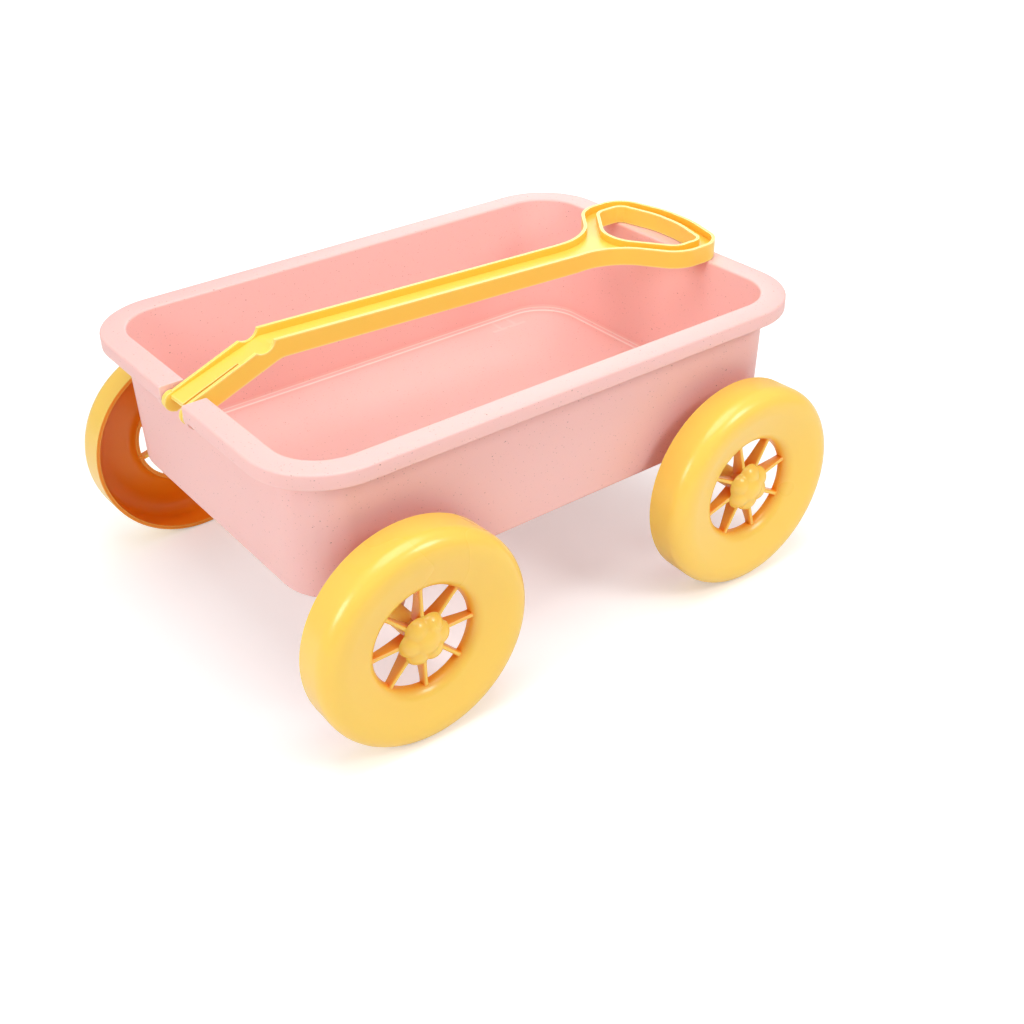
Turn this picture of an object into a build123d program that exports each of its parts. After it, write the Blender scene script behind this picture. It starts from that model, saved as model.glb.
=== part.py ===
from build123d import *
import os
from math import cos, radians, sin

# A child's pull wagon: a moulded tub on two steel axles, four spoked wheels and a fold-over handle.
#
# Millimetres. +X points to the front, where the handle is hinged, +Y to the wagon's left and +Z up.
# The origin is on the ground under the middle of the wagon. The handle is drawn folded back over the tub.

os.makedirs("parts", exist_ok=True)

# ---------------------------------------------------------------- driving dimensions
# Tub and rim
RIM_LENGTH = 300.0
RIM_WIDTH = 210.0
RIM_CORNER = 36.5  # outer corner radius of the rim, seen from above
RIM_TOP = 140.0  # height of the rim's flat top above the ground
RIM_LAND = 2.2  # thickness of the rim's flat top
SKIRT_DEPTH = 7.5  # how far the rim's outer skirt hangs below its top
SKIRT_WALL = 2.0
RIM_EDGE_ROUND = 1.0
RIM_OVERHANG = 10.4  # from the wall's outer face out to the skirt's outer face
TUB_BOTTOM = 69.0  # height of the tub's underside
TUB_WALL = 2.2
TUB_FLOOR = 1.9
TUB_DRAFT = 1.0  # how much each wall leans in from rim to floor
TUB_FLOOR_CORNER = 28.0  # outer corner radius at the tub's underside
BOTTOM_ROUND = 3.0
FLOOR_FILLET = 2.4
INNER_EDGE_ROUND = 1.1

# Handle pivot in the front rim
PIVOT_SETBACK = 4.6  # pivot axis behind the rim's front face
PIVOT_DROP = 7.0  # pivot axis below the rim's top
NOTCH_HALF_WIDTH = 11.2
NOTCH_DEPTH = 10.6  # how far the notch is cut down from the rim's top
EAR_THICKNESS = 3.6
TRUNNION_DIAMETER = 4.6
TRUNNION_CLEARANCE = 0.1  # radial
TRUNNION_PROUD = 1.2  # how far a trunnion's end shows past its ear
COLLAR_GAP = 0.6  # from the collar of a prong to the side of the notch
COLLAR_STEP = 0.2  # a collar is this much smaller in radius than its prong's tip

# Axles and the saddles under the tub
WHEELBASE = 198.0
AXLE_SHIFT = 2.0  # the middle of the wheelbase lies this far in front of the tub's middle
AXLE_DIAMETER = 5.0
AXLE_CHAMFER = 0.6
SADDLE_CLEARANCE = 0.08  # radial, axle in saddle
SADDLE_SLOT = 4.5  # snap-in mouth, narrower than the axle
SADDLE_WIDTH = 24.0  # along X, where a saddle meets the tub
SADDLE_RADIUS = 6.2  # around the axle
SADDLE_RIB = 2.5
SADDLE_SPAN = 15.0  # from the inner rib's inner face to the outer rib's outer face
SADDLE_OUTER_FACE = 93.0  # distance of the outer rib's outer face from the middle of the wagon
SADDLE_WEB = 2.2

# Wheels
WHEEL_RADIUS = 54.0
WHEEL_BACK_RADIUS = 53.7  # at the open back edge, for draft
OVERALL_WIDTH = 250.0
WHEEL_THICKNESS = 21.0
WHEEL_SHELL = 2.0
WHEEL_SHOULDER = 9.0
WHEEL_TREAD_FLAT = 0.5  # undrafted stretch of the tread beside the shoulder
WHEEL_CROWN_RADIUS = 37.0  # where the flat crown turns down towards the hole
WHEEL_CROWN_ROUND = 22.0
WHEEL_HOLE_RADIUS = 25.5
WHEEL_DISH = 3.5  # how much lower the face is at the hole than at the crown
WHEEL_LIP_ROUND = 6.0
WHEEL_LIP_END = 10.5  # inner end of the lip, measured from the open back edge
SPOKE_COUNT = 8
SPOKE_THICKNESS = 2.4
SPOKE_FRONT = 14.0  # front edge of the spokes, measured from the open back edge
SPOKE_DEPTH_AT_HUB = 8.0
SPOKE_DEPTH_AT_LIP = 4.0
SPOKE_EDGE_ROUND = 0.95
HUB_FRONT_RADIUS = 10.5
HUB_BARREL_RADIUS = 5.2
HUB_CONE_LENGTH = 8.8
HUB_SADDLE_GAP = 0.6
BORE_CLEARANCE = 0.06  # radial, wheel on axle
COUNTERBORE_RADIUS = 6.5
COUNTERBORE_DEPTH = 4.0
WHEEL_PHASES = {"front_left": 0.0, "front_right": 30.0, "rear_left": 30.0, "rear_right": 12.0}

# Push nuts on the axle ends
NUT_RADIUS = 5.5
NUT_THICKNESS = 0.8
NUT_TEETH = 6
NUT_SLOT = 0.9
NUT_CROWN = 0.8  # how far the teeth stand out along the axle
NUT_GAP = 0.3  # from the floor of the counterbore
NUT_GRIP = 0.02  # radial, nut on axle
AXLE_PAST_NUT = 1.1

# Flower caps
CAP_LOBES = 6
CAP_LOBE_RADIUS = 6.4
CAP_LOBE_OFFSET = 7.1
CAP_CROWN_RADIUS = 11.0
CAP_CROWN_HEIGHT = 6.7
CAP_SPIGOT_CLEARANCE = 0.05
CAP_SPIGOT_DEPTH = 2.0
CAP_SPIGOT_WALL = 1.5
CAP_HOLLOW = 1.2  # how far the hollow behind the spigot reaches into the cap

# Handle, folded back
HANDLE_REST_GAP = 0.3  # grip above the rear rim
BAR_DEPTH = 9.2
LINK_DEPTH = 9.6
LINK_ANGLE = 21.2  # the short link climbs this steeply from the pivot
KINK_X = 100.5
NECK_X = -75.0  # the grip is level behind this
BAR_HALF_WIDTH = 9.6  # at the grip
LINK_HALF_WIDTH = 8.9  # at the pivot
HANDLE_WALL = 1.8
WEB_THICKNESS = 1.8
WEB_DEPTH = 3.8  # of the web below the flanges' top edges, along the bar and the grip
WEB_DEPTH_AT_TIP = 1.0
WEB_TIP_SETBACK = 2.6  # the web stops this far short of the prongs' tips
KINK_NOTCH_RADIUS = 6.3
KINK_NOTCH_AHEAD = 6.3  # notch centre in front of the kink
KINK_NOTCH_ABOVE = 1.3  # notch centre above the kink's top
KINK_UNDER_ROUND = 20.0
SLIT_WIDTH = 1.3
SLIT_END_X = 118.5
GRIP_RING = 10.0  # width of the grip's ring
GRIP_APEX_X = -102.0  # sharp corners of the grip's hole, before rounding
GRIP_SIDE_X = -124.0
GRIP_BACK_CORNER_X = -139.5
GRIP_BOW_X = -145.0
GRIP_HALF_WIDTH = 31.2
GRIP_BOW_HALF_WIDTH = 9.0
GRIP_APEX_ROUND = 20.0
GRIP_SIDE_ROUND = 7.0
GRIP_BACK_ROUND = 5.0
GRIP_BOW_ROUND = 40.0
NECK_ROUND = 30.0

# ---------------------------------------------------------------- worked-out places
BIG = 400.0  # larger than the wagon, for cutting tools
PAST = 1.0  # how far a cutting tool runs past a face
PIVOT_X = RIM_LENGTH / 2 - PIVOT_SETBACK
PIVOT_Z = RIM_TOP - PIVOT_DROP
AXLE_Z = WHEEL_RADIUS
AXLE_X = {"front": WHEELBASE / 2 + AXLE_SHIFT, "rear": -WHEELBASE / 2 + AXLE_SHIFT}
WHEEL_BACK_Y = OVERALL_WIDTH / 2 - WHEEL_THICKNESS
HUB_INNER_Y = SADDLE_OUTER_FACE + HUB_SADDLE_GAP - WHEEL_BACK_Y
BORE_RADIUS = AXLE_DIAMETER / 2 + BORE_CLEARANCE
NUT_Y = SPOKE_FRONT - COUNTERBORE_DEPTH + NUT_GAP
AXLE_END_Y = WHEEL_BACK_Y + NUT_Y + NUT_THICKNESS + AXLE_PAST_NUT
SIDES = {"left": 1, "right": -1}


# ---------------------------------------------------------------- tub
def rim_outline(inset, corner=None):
    """The rim's plan outline, drawn smaller by inset all round."""
    radius = RIM_CORNER - inset if corner is None else corner
    return RectangleRounded(RIM_LENGTH - 2 * inset, RIM_WIDTH - 2 * inset, radius)


def slab(inset, low, high):
    """A straight-sided block with the rim's outline, from one height to another."""
    return Pos(0, 0, low) * extrude(rim_outline(inset), high - low)


def tapered_box(top_inset, bottom_inset, bottom_corner, low, high):
    """A drafted block whose outline shrinks from the rim's height down to its floor."""
    floor = Pos(0, 0, low) * rim_outline(bottom_inset, bottom_corner)
    top = Pos(0, 0, high) * rim_outline(top_inset)
    return loft([floor, top])


def bottom_edges(solid):
    """The edges round a solid's lowest face."""
    return solid.faces().sort_by(Axis.Z)[0].edges()


def tub_shell():
    """The open box with its rim: a flat land and a skirt that hangs outside the wall."""
    outer = tapered_box(RIM_OVERHANG, RIM_OVERHANG + TUB_DRAFT, TUB_FLOOR_CORNER, TUB_BOTTOM, RIM_TOP - RIM_LAND / 2)
    outer = fillet(bottom_edges(outer), BOTTOM_ROUND)
    rim = slab(0, RIM_TOP - SKIRT_DEPTH, RIM_TOP)
    rim = fillet(rim.faces().sort_by(Axis.Z)[-1].edges(), RIM_EDGE_ROUND)
    rim -= slab(SKIRT_WALL, RIM_TOP - SKIRT_DEPTH - PAST, RIM_TOP - RIM_LAND)
    inner_inset = RIM_OVERHANG + TUB_WALL
    cavity = tapered_box(
        inner_inset, inner_inset + TUB_DRAFT, TUB_FLOOR_CORNER - TUB_WALL, TUB_BOTTOM + TUB_FLOOR, RIM_TOP
    )
    cavity = fillet(bottom_edges(cavity), FLOOR_FILLET)
    body = outer + rim - cavity
    top_face = body.faces().filter_by(Plane.XY).sort_by(Axis.Z)[-1]
    return fillet(top_face.inner_wires()[0].edges(), INNER_EDGE_ROUND)


def ear(side):
    """One bearing ear beside the notch: it closes the hollow rim and carries a trunnion."""
    wall_x = RIM_LENGTH / 2 - RIM_OVERHANG - TUB_WALL / 2
    front_x = RIM_LENGTH / 2 - SKIRT_WALL / 2
    top_z = RIM_TOP - RIM_LAND / 2
    block = Pos((wall_x + front_x) / 2, (PIVOT_Z + top_z) / 2) * Rectangle(front_x - wall_x, top_z - PIVOT_Z)
    web = Pos((wall_x + PIVOT_X) / 2, PIVOT_Z) * Rectangle(PIVOT_X - wall_x, PIVOT_SETBACK)
    profile = block + web + Pos(PIVOT_X, PIVOT_Z) * Circle(PIVOT_SETBACK)
    return across(profile, NOTCH_HALF_WIDTH, NOTCH_HALF_WIDTH + EAR_THICKNESS, side)


def across(profile, near, far, side=1):
    """Extrudes a profile drawn in X and Z across the wagon, between two distances from its middle."""
    solid = Plane.XZ * extrude(profile, -(far - near))
    solid = Pos(0, near, 0) * solid
    return solid if side > 0 else mirror(solid, Plane.XZ)


def saddle(axle_x, side):
    """A snap-in axle saddle moulded under the tub: two ribs joined by two webs."""
    top_z = TUB_BOTTOM + TUB_FLOOR / 2
    half = SADDLE_WIDTH / 2
    plate = make_face(
        Polyline(
            (axle_x - half, top_z),
            (axle_x + half, top_z),
            (axle_x + SADDLE_RADIUS, AXLE_Z),
            (axle_x - SADDLE_RADIUS, AXLE_Z),
            close=True,
        )
    )
    plate += Pos(axle_x, AXLE_Z) * Circle(SADDLE_RADIUS)
    plate -= Pos(axle_x, AXLE_Z) * Circle(AXLE_DIAMETER / 2 + SADDLE_CLEARANCE)
    plate -= Pos(axle_x, AXLE_Z - SADDLE_RADIUS) * Rectangle(SADDLE_SLOT, 2 * SADDLE_RADIUS)
    outer = SADDLE_OUTER_FACE
    inner = outer - SADDLE_SPAN
    solid = across(plate, outer - SADDLE_RIB, outer, side) + across(plate, inner, inner + SADDLE_RIB, side)
    for way in (1, -1):
        web_x = axle_x + way * (SADDLE_RADIUS - SADDLE_WEB / 2)
        web_low = AXLE_Z + SADDLE_RADIUS / 2
        web = Pos(web_x, (top_z + web_low) / 2) * Rectangle(SADDLE_WEB, top_z - web_low)
        solid += across(web, inner, outer, side)
    return solid


def make_tub():
    """The whole tub moulding, with notch, ears and saddles."""
    body = tub_shell()
    for side in SIDES.values():
        body += ear(side)
        for axle_x in AXLE_X.values():
            body += saddle(axle_x, side)
    inner_x = RIM_LENGTH / 2 - RIM_OVERHANG - 2 * TUB_WALL - INNER_EDGE_ROUND
    notch_length = RIM_LENGTH / 2 - inner_x + PAST
    notch_low = RIM_TOP - NOTCH_DEPTH
    notch = Box(notch_length, 2 * NOTCH_HALF_WIDTH, 2 * NOTCH_DEPTH)
    body -= Pos(inner_x + notch_length / 2, 0, notch_low + NOTCH_DEPTH) * notch
    bore_far = NOTCH_HALF_WIDTH + EAR_THICKNESS + TRUNNION_PROUD + TRUNNION_CLEARANCE
    bore = Pos(PIVOT_X, PIVOT_Z) * Circle(TRUNNION_DIAMETER / 2 + TRUNNION_CLEARANCE)
    for side in SIDES.values():
        body -= across(bore, 0, bore_far, side)
    return body


# ---------------------------------------------------------------- axles and push nuts
def make_axle(axle_x):
    """A plain steel rod across the wagon."""
    rod = Cylinder(AXLE_DIAMETER / 2, 2 * AXLE_END_Y)
    rod = chamfer(rod.edges().filter_by(GeomType.CIRCLE), AXLE_CHAMFER)
    return Pos(axle_x, 0, AXLE_Z) * Rot(90, 0, 0) * rod


def make_push_nut(axle_x, side):
    """A toothed spring washer pushed onto an axle end, which keeps the wheel on."""
    hole = AXLE_DIAMETER / 2 + NUT_GRIP
    ring_inner = (NUT_RADIUS + hole) / 2
    section = make_face(
        Polyline(
            (NUT_RADIUS, 0),
            (NUT_RADIUS, NUT_THICKNESS),
            (ring_inner, NUT_THICKNESS),
            (hole, NUT_THICKNESS + NUT_CROWN),
            (hole, NUT_CROWN),
            (ring_inner, 0),
            close=True,
        )
    )
    nut = revolve(Plane.XZ * section, Axis.Z)
    height = NUT_THICKNESS + NUT_CROWN
    for index in range(NUT_TEETH):
        slot = Pos(ring_inner / 2, 0, height / 2) * Box(ring_inner, NUT_SLOT, 2 * height)
        nut -= Rot(0, 0, index * 360 / NUT_TEETH) * slot
    return place_on_wheel(nut, axle_x, side, NUT_Y)


def place_on_wheel(solid, axle_x, side, distance, turn=0.0):
    """Stands a solid drawn about Z on a wheel's axis, at a distance from the wheel's open back edge.

    A turn of a few degrees carries what pointed forward upward.
    """
    upright = Rot(-90, 0, 0) * Rot(0, 0, -turn) * Pos(0, 0, distance) * solid
    placed = Pos(0, WHEEL_BACK_Y, 0) * upright
    if side < 0:
        placed = mirror(placed, Plane.XZ)
    return Pos(axle_x, 0, AXLE_Z) * placed


# ---------------------------------------------------------------- wheels
def wheel_shell():
    """The hollow tyre: tread, rounded shoulder, dished face and the lip round the hole."""
    outline = FilletPolyline(
        (WHEEL_BACK_RADIUS, 0),
        (WHEEL_RADIUS, WHEEL_THICKNESS - WHEEL_SHOULDER - WHEEL_TREAD_FLAT),
        (WHEEL_RADIUS, WHEEL_THICKNESS),
        (WHEEL_CROWN_RADIUS, WHEEL_THICKNESS),
        (WHEEL_HOLE_RADIUS, WHEEL_THICKNESS - WHEEL_DISH),
        (WHEEL_HOLE_RADIUS, 0),
        radius=[0, WHEEL_SHOULDER, WHEEL_CROWN_ROUND, WHEEL_LIP_ROUND],
    )
    back = Line((WHEEL_HOLE_RADIUS, 0), (WHEEL_BACK_RADIUS, 0))
    section = make_face(outline.edges() + back.edges())
    hollow = offset(section, -WHEEL_SHELL)
    inner = WHEEL_HOLE_RADIUS - PAST
    outer = WHEEL_BACK_RADIUS - WHEEL_SHELL
    open_back = Rectangle(outer - inner, WHEEL_LIP_END + PAST)
    hollow += Pos((inner + outer) / 2, (WHEEL_LIP_END - PAST) / 2) * open_back
    return revolve(Plane.XZ * (section - hollow), Axis.Z)


def hub():
    """The conical hub with its long barrel, bored for the axle and counterbored for nut and cap."""
    section = make_face(
        Polyline(
            (0, HUB_INNER_Y),
            (HUB_BARREL_RADIUS, HUB_INNER_Y),
            (HUB_BARREL_RADIUS, SPOKE_FRONT - HUB_CONE_LENGTH),
            (HUB_FRONT_RADIUS, SPOKE_FRONT),
            (0, SPOKE_FRONT),
            close=True,
        )
    )
    return revolve(Plane.XZ * section, Axis.Z)


def spoke():
    """One blade, deeper at the hub than at the lip."""
    tip = WHEEL_HOLE_RADIUS + WHEEL_SHELL / 2
    profile = make_face(
        Polyline(
            (HUB_BARREL_RADIUS / 2, SPOKE_FRONT),
            (tip, SPOKE_FRONT),
            (tip, SPOKE_FRONT - SPOKE_DEPTH_AT_LIP),
            (HUB_BARREL_RADIUS / 2, SPOKE_FRONT - SPOKE_DEPTH_AT_HUB),
            close=True,
        )
    )
    blade = extrude(Plane.XZ * profile, SPOKE_THICKNESS / 2, both=True)
    front = blade.faces().sort_by(Axis.Z)[-1]
    return fillet(front.edges().filter_by(Axis.X), SPOKE_EDGE_ROUND)


def make_wheel(axle_x, side, phase):
    """One wheel, spokes turned to its phase."""
    solid = wheel_shell() + hub()
    for index in range(SPOKE_COUNT):
        solid += Rot(0, 0, index * 360 / SPOKE_COUNT) * spoke()
    solid -= Cylinder(BORE_RADIUS, BIG)
    solid -= Pos(0, 0, SPOKE_FRONT) * Cylinder(COUNTERBORE_RADIUS, 2 * COUNTERBORE_DEPTH)
    return place_on_wheel(solid, axle_x, side, 0, phase)


def make_cap(axle_x, side, phase):
    """A domed flower cap whose spigot plugs the hub's counterbore."""
    dome = Pos(0, 0, CAP_CROWN_HEIGHT - CAP_CROWN_RADIUS) * Sphere(CAP_CROWN_RADIUS)
    for index in range(CAP_LOBES):
        dome += Rot(0, 0, index * 360 / CAP_LOBES) * Pos(CAP_LOBE_OFFSET, 0, 0) * Sphere(CAP_LOBE_RADIUS)
    dome -= Pos(0, 0, -BIG / 2) * Box(BIG, BIG, BIG)
    spigot_radius = COUNTERBORE_RADIUS - CAP_SPIGOT_CLEARANCE
    cap = dome + Pos(0, 0, -CAP_SPIGOT_DEPTH / 2) * Cylinder(spigot_radius, CAP_SPIGOT_DEPTH)
    cap -= Cylinder(spigot_radius - CAP_SPIGOT_WALL, 2 * CAP_HOLLOW)
    cap -= Pos(0, 0, -CAP_SPIGOT_DEPTH) * Cylinder(spigot_radius - CAP_SPIGOT_WALL, 2 * CAP_SPIGOT_DEPTH)
    return place_on_wheel(cap, axle_x, side, SPOKE_FRONT, phase)


# ---------------------------------------------------------------- handle
def shifted_corner(corner, way_in, way_out, distance):
    """A corner moved so that both of its sides lie that far to the right of where they were."""
    right_in = Vector(way_in.Y, -way_in.X)
    right_out = Vector(way_out.Y, -way_out.X)
    return corner + (right_in + right_out) * (distance / (1 + right_in.dot(right_out)))


def pushed_out(corners, distance):
    """A counterclockwise polygon with every side moved outward."""
    ways = [(b - a).normalized() for a, b in zip(corners, corners[1:] + corners[:1])]
    return [shifted_corner(c, a, b, distance) for c, a, b in zip(corners, ways[-1:] + ways[:-1], ways)]


def lowered(line, depths):
    """A line that runs towards the rear, moved down by one depth for each of its points."""
    ways = [(b - a).normalized() for a, b in zip(line, line[1:])]
    pairs = zip(ways[:1] + ways, ways + ways[-1:])
    return [shifted_corner(p, *pair, -depth) for p, pair, depth in zip(line, pairs, depths)]


def with_mirror(upper):
    """Closes a half outline: the given points and their mirror images across the middle."""
    return upper + [Vector(p.X, -p.Y) for p in reversed(upper) if p.Y > 0]


def grip_loop(spread):
    """The outline of the grip's hole, pushed outward by spread."""
    upper = [
        Vector(GRIP_APEX_X, 0),
        Vector(GRIP_SIDE_X, GRIP_HALF_WIDTH),
        Vector(GRIP_BACK_CORNER_X, GRIP_HALF_WIDTH),
        Vector(GRIP_BOW_X, GRIP_BOW_HALF_WIDTH),
    ]
    rounds = [r + spread for r in (GRIP_SIDE_ROUND, GRIP_BACK_ROUND, GRIP_BOW_ROUND)]
    return pushed_out(with_mirror(upper), spread), [GRIP_APEX_ROUND + spread] + rounds + rounds[::-1]


def grip_face(spread):
    """The grip's hole as a face, or a larger face of the same form."""
    corners, rounds = grip_loop(spread)
    return make_face(FilletPolyline(*corners, radius=rounds, close=True))


def handle_plan(inset):
    """The handle from above, without the grip's hole and drawn smaller by inset, run on past its front end."""
    loop, rounds = grip_loop(GRIP_RING)
    apex, side = loop[0], loop[1]
    neck = apex + (side - apex) * (BAR_HALF_WIDTH / side.Y)
    taper = (BAR_HALF_WIDTH - LINK_HALF_WIDTH) / (PIVOT_X - neck.X)
    front = Vector(PIVOT_X + LINK_DEPTH, LINK_HALF_WIDTH - taper * LINK_DEPTH)
    corners = pushed_out(with_mirror([front, neck] + loop[1:4]), -inset)
    upper_rounds = [0, NECK_ROUND + inset] + [r - inset for r in rounds[1:4]]
    return make_face(FilletPolyline(*corners, radius=upper_rounds + upper_rounds[::-1], close=True))


def top_line(reach):
    """The top edge of the flanges from the side: short link, kink, long bar and level grip."""
    climb = Vector(-cos(radians(LINK_ANGLE)), sin(radians(LINK_ANGLE)))
    up = Vector(climb.Y, -climb.X)
    start = Vector(PIVOT_X, PIVOT_Z) + up * (LINK_DEPTH / 2)
    kink = start + climb * ((start.X - KINK_X) / -climb.X)
    grip_top = RIM_TOP + HANDLE_REST_GAP + BAR_DEPTH
    end_x = GRIP_BOW_X - 2 * GRIP_RING
    return [start - climb * reach, kink, Vector(NECK_X, grip_top), Vector(end_x, grip_top)]


def side_slab(top, depths):
    """A solid as wide as needed, between a top line and the same line lowered by the depths."""
    low = lowered(top, depths)
    profile = make_face(
        FilletPolyline(*top, *reversed(low), radius=[0, 0, 0, 0, 0, 0, KINK_UNDER_ROUND, 0], close=True)
    )
    return extrude(Plane.XZ * profile, BIG / 2, both=True)


def flanges():
    """The upright walls round the bar and round both edges of the grip, and the prongs' round tips."""
    plan = handle_plan(0) - handle_plan(HANDLE_WALL) + grip_face(HANDLE_WALL) - grip_face(0)
    side = side_slab(top_line(0), [LINK_DEPTH, BAR_DEPTH, BAR_DEPTH, BAR_DEPTH])
    side += extrude(Plane.XZ * Pos(PIVOT_X, PIVOT_Z) * Circle(LINK_DEPTH / 2), BIG / 2, both=True)
    return extrude(plan, BIG) & side


def web():
    """The plate between the flanges, with a slit beside the left prong so that the prong can spring in."""
    plan = handle_plan(HANDLE_WALL / 2) - grip_face(HANDLE_WALL / 2)
    top = lowered(top_line(LINK_DEPTH / 2 - WEB_TIP_SETBACK), [WEB_DEPTH_AT_TIP, WEB_DEPTH, WEB_DEPTH, WEB_DEPTH])
    plate = extrude(plan, BIG) & side_slab(top, [WEB_THICKNESS] * len(top))
    slit_y = LINK_HALF_WIDTH - HANDLE_WALL - SLIT_WIDTH / 2
    return plate - Pos(SLIT_END_X + BIG / 2, slit_y, PIVOT_Z) * Box(BIG, SLIT_WIDTH, BIG)


def make_handle():
    """The one-piece handle with its forked, snap-in front end."""
    solid = flanges() + web()
    kink = top_line(0)[1]
    finger_notch = Pos(kink.X + KINK_NOTCH_AHEAD, kink.Y + KINK_NOTCH_ABOVE) * Circle(KINK_NOTCH_RADIUS)
    solid -= extrude(Plane.XZ * finger_notch, BIG / 2, both=True)
    inside = LINK_HALF_WIDTH - HANDLE_WALL / 2
    collar = Pos(PIVOT_X, PIVOT_Z) * Circle(LINK_DEPTH / 2 - COLLAR_STEP)
    trunnion = Pos(PIVOT_X, PIVOT_Z) * Circle(TRUNNION_DIAMETER / 2)
    for side in SIDES.values():
        solid += across(collar, inside, NOTCH_HALF_WIDTH - COLLAR_GAP, side)
        solid += across(trunnion, inside, NOTCH_HALF_WIDTH + EAR_THICKNESS + TRUNNION_PROUD, side)
    return solid


# ---------------------------------------------------------------- build and write
def main():
    """Builds every piece and writes each to its own file."""
    export_step(make_tub(), "parts/tub.step")
    export_step(make_handle(), "parts/handle.step")
    for axle_name, axle_x in AXLE_X.items():
        export_step(make_axle(axle_x), f"parts/axle_{axle_name}.step")
        for side_name, side in SIDES.items():
            corner = f"{axle_name}_{side_name}"
            phase = WHEEL_PHASES[corner]
            export_step(make_wheel(axle_x, side, phase), f"parts/wheel_{corner}.step")
            export_step(make_cap(axle_x, side, phase), f"parts/hub_cap_{corner}.step")
            export_step(make_push_nut(axle_x, side), f"parts/push_nut_{corner}.step")


main()
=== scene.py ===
"""A child's pull wagon: speckled moulded tub, fold-over channel handle, four spoked wheels, flower caps.

Every new piece is modelled in millimetres at its own place and made metres when it is finished.
+X points to the front, where the handle is hinged, +Y to the wagon's left and +Z up.
"""

from __future__ import annotations

import logging
import math
from dataclasses import dataclass, field
from enum import Enum
from typing import Callable, Sequence

import bmesh
import bpy
from mathutils import Matrix, Vector

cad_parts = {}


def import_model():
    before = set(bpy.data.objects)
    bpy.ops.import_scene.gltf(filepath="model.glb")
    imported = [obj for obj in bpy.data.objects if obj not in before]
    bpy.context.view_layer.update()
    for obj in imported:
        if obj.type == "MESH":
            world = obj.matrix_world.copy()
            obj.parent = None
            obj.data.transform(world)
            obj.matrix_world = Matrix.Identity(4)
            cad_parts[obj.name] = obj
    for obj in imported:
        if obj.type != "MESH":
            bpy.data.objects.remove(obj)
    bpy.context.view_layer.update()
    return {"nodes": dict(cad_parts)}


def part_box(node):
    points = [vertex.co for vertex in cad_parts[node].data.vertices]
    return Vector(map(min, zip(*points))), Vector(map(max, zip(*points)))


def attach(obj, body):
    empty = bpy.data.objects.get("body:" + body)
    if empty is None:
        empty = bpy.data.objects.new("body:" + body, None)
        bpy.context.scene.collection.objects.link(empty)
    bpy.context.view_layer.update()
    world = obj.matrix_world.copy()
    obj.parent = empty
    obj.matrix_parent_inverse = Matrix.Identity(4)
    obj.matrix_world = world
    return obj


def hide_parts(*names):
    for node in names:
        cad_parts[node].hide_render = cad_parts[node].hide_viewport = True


MM = 0.001
NEAR = 0.02
log = logging.getLogger("pull_wagon")

Colour = tuple[float, float, float]
Point = tuple[float, float]


class Side(Enum):
    """The two long sides of the wagon, by the sign of Y."""

    LEFT = 1
    RIGHT = -1

    def span(self, first: float, second: float) -> list[float]:
        """Turns two distances from the middle into places along Y, the lower first."""
        return sorted((self.value * first, self.value * second))


class Select(Enum):
    """What an edit-mode operator works on."""

    VERTS = "VERT"
    EDGES = "EDGE"
    FACES = "FACE"


class Join(Enum):
    """How one workpiece acts on another."""

    ADD = "UNION"
    CUT = "DIFFERENCE"


def display(red: int, green: int, blue: int) -> Colour:
    """Turns display values from 0 to 255 into linear light.

    Args:
        red: Red value.
        green: Green value.
        blue: Blue value.

    Returns:
        The same colour in linear light.
    """

    def linear(value: int) -> float:
        """Turns one display value into linear light."""
        share = value / 255
        return share / 12.92 if share <= 0.04045 else ((share + 0.055) / 1.055) ** 2.4

    return linear(red), linear(green), linear(blue)


def deselect_all() -> None:
    """Leaves edit mode and deselects every object."""
    if bpy.context.mode != "OBJECT":
        bpy.ops.object.mode_set(mode="OBJECT")
    bpy.ops.object.select_all(action="DESELECT")


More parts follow.
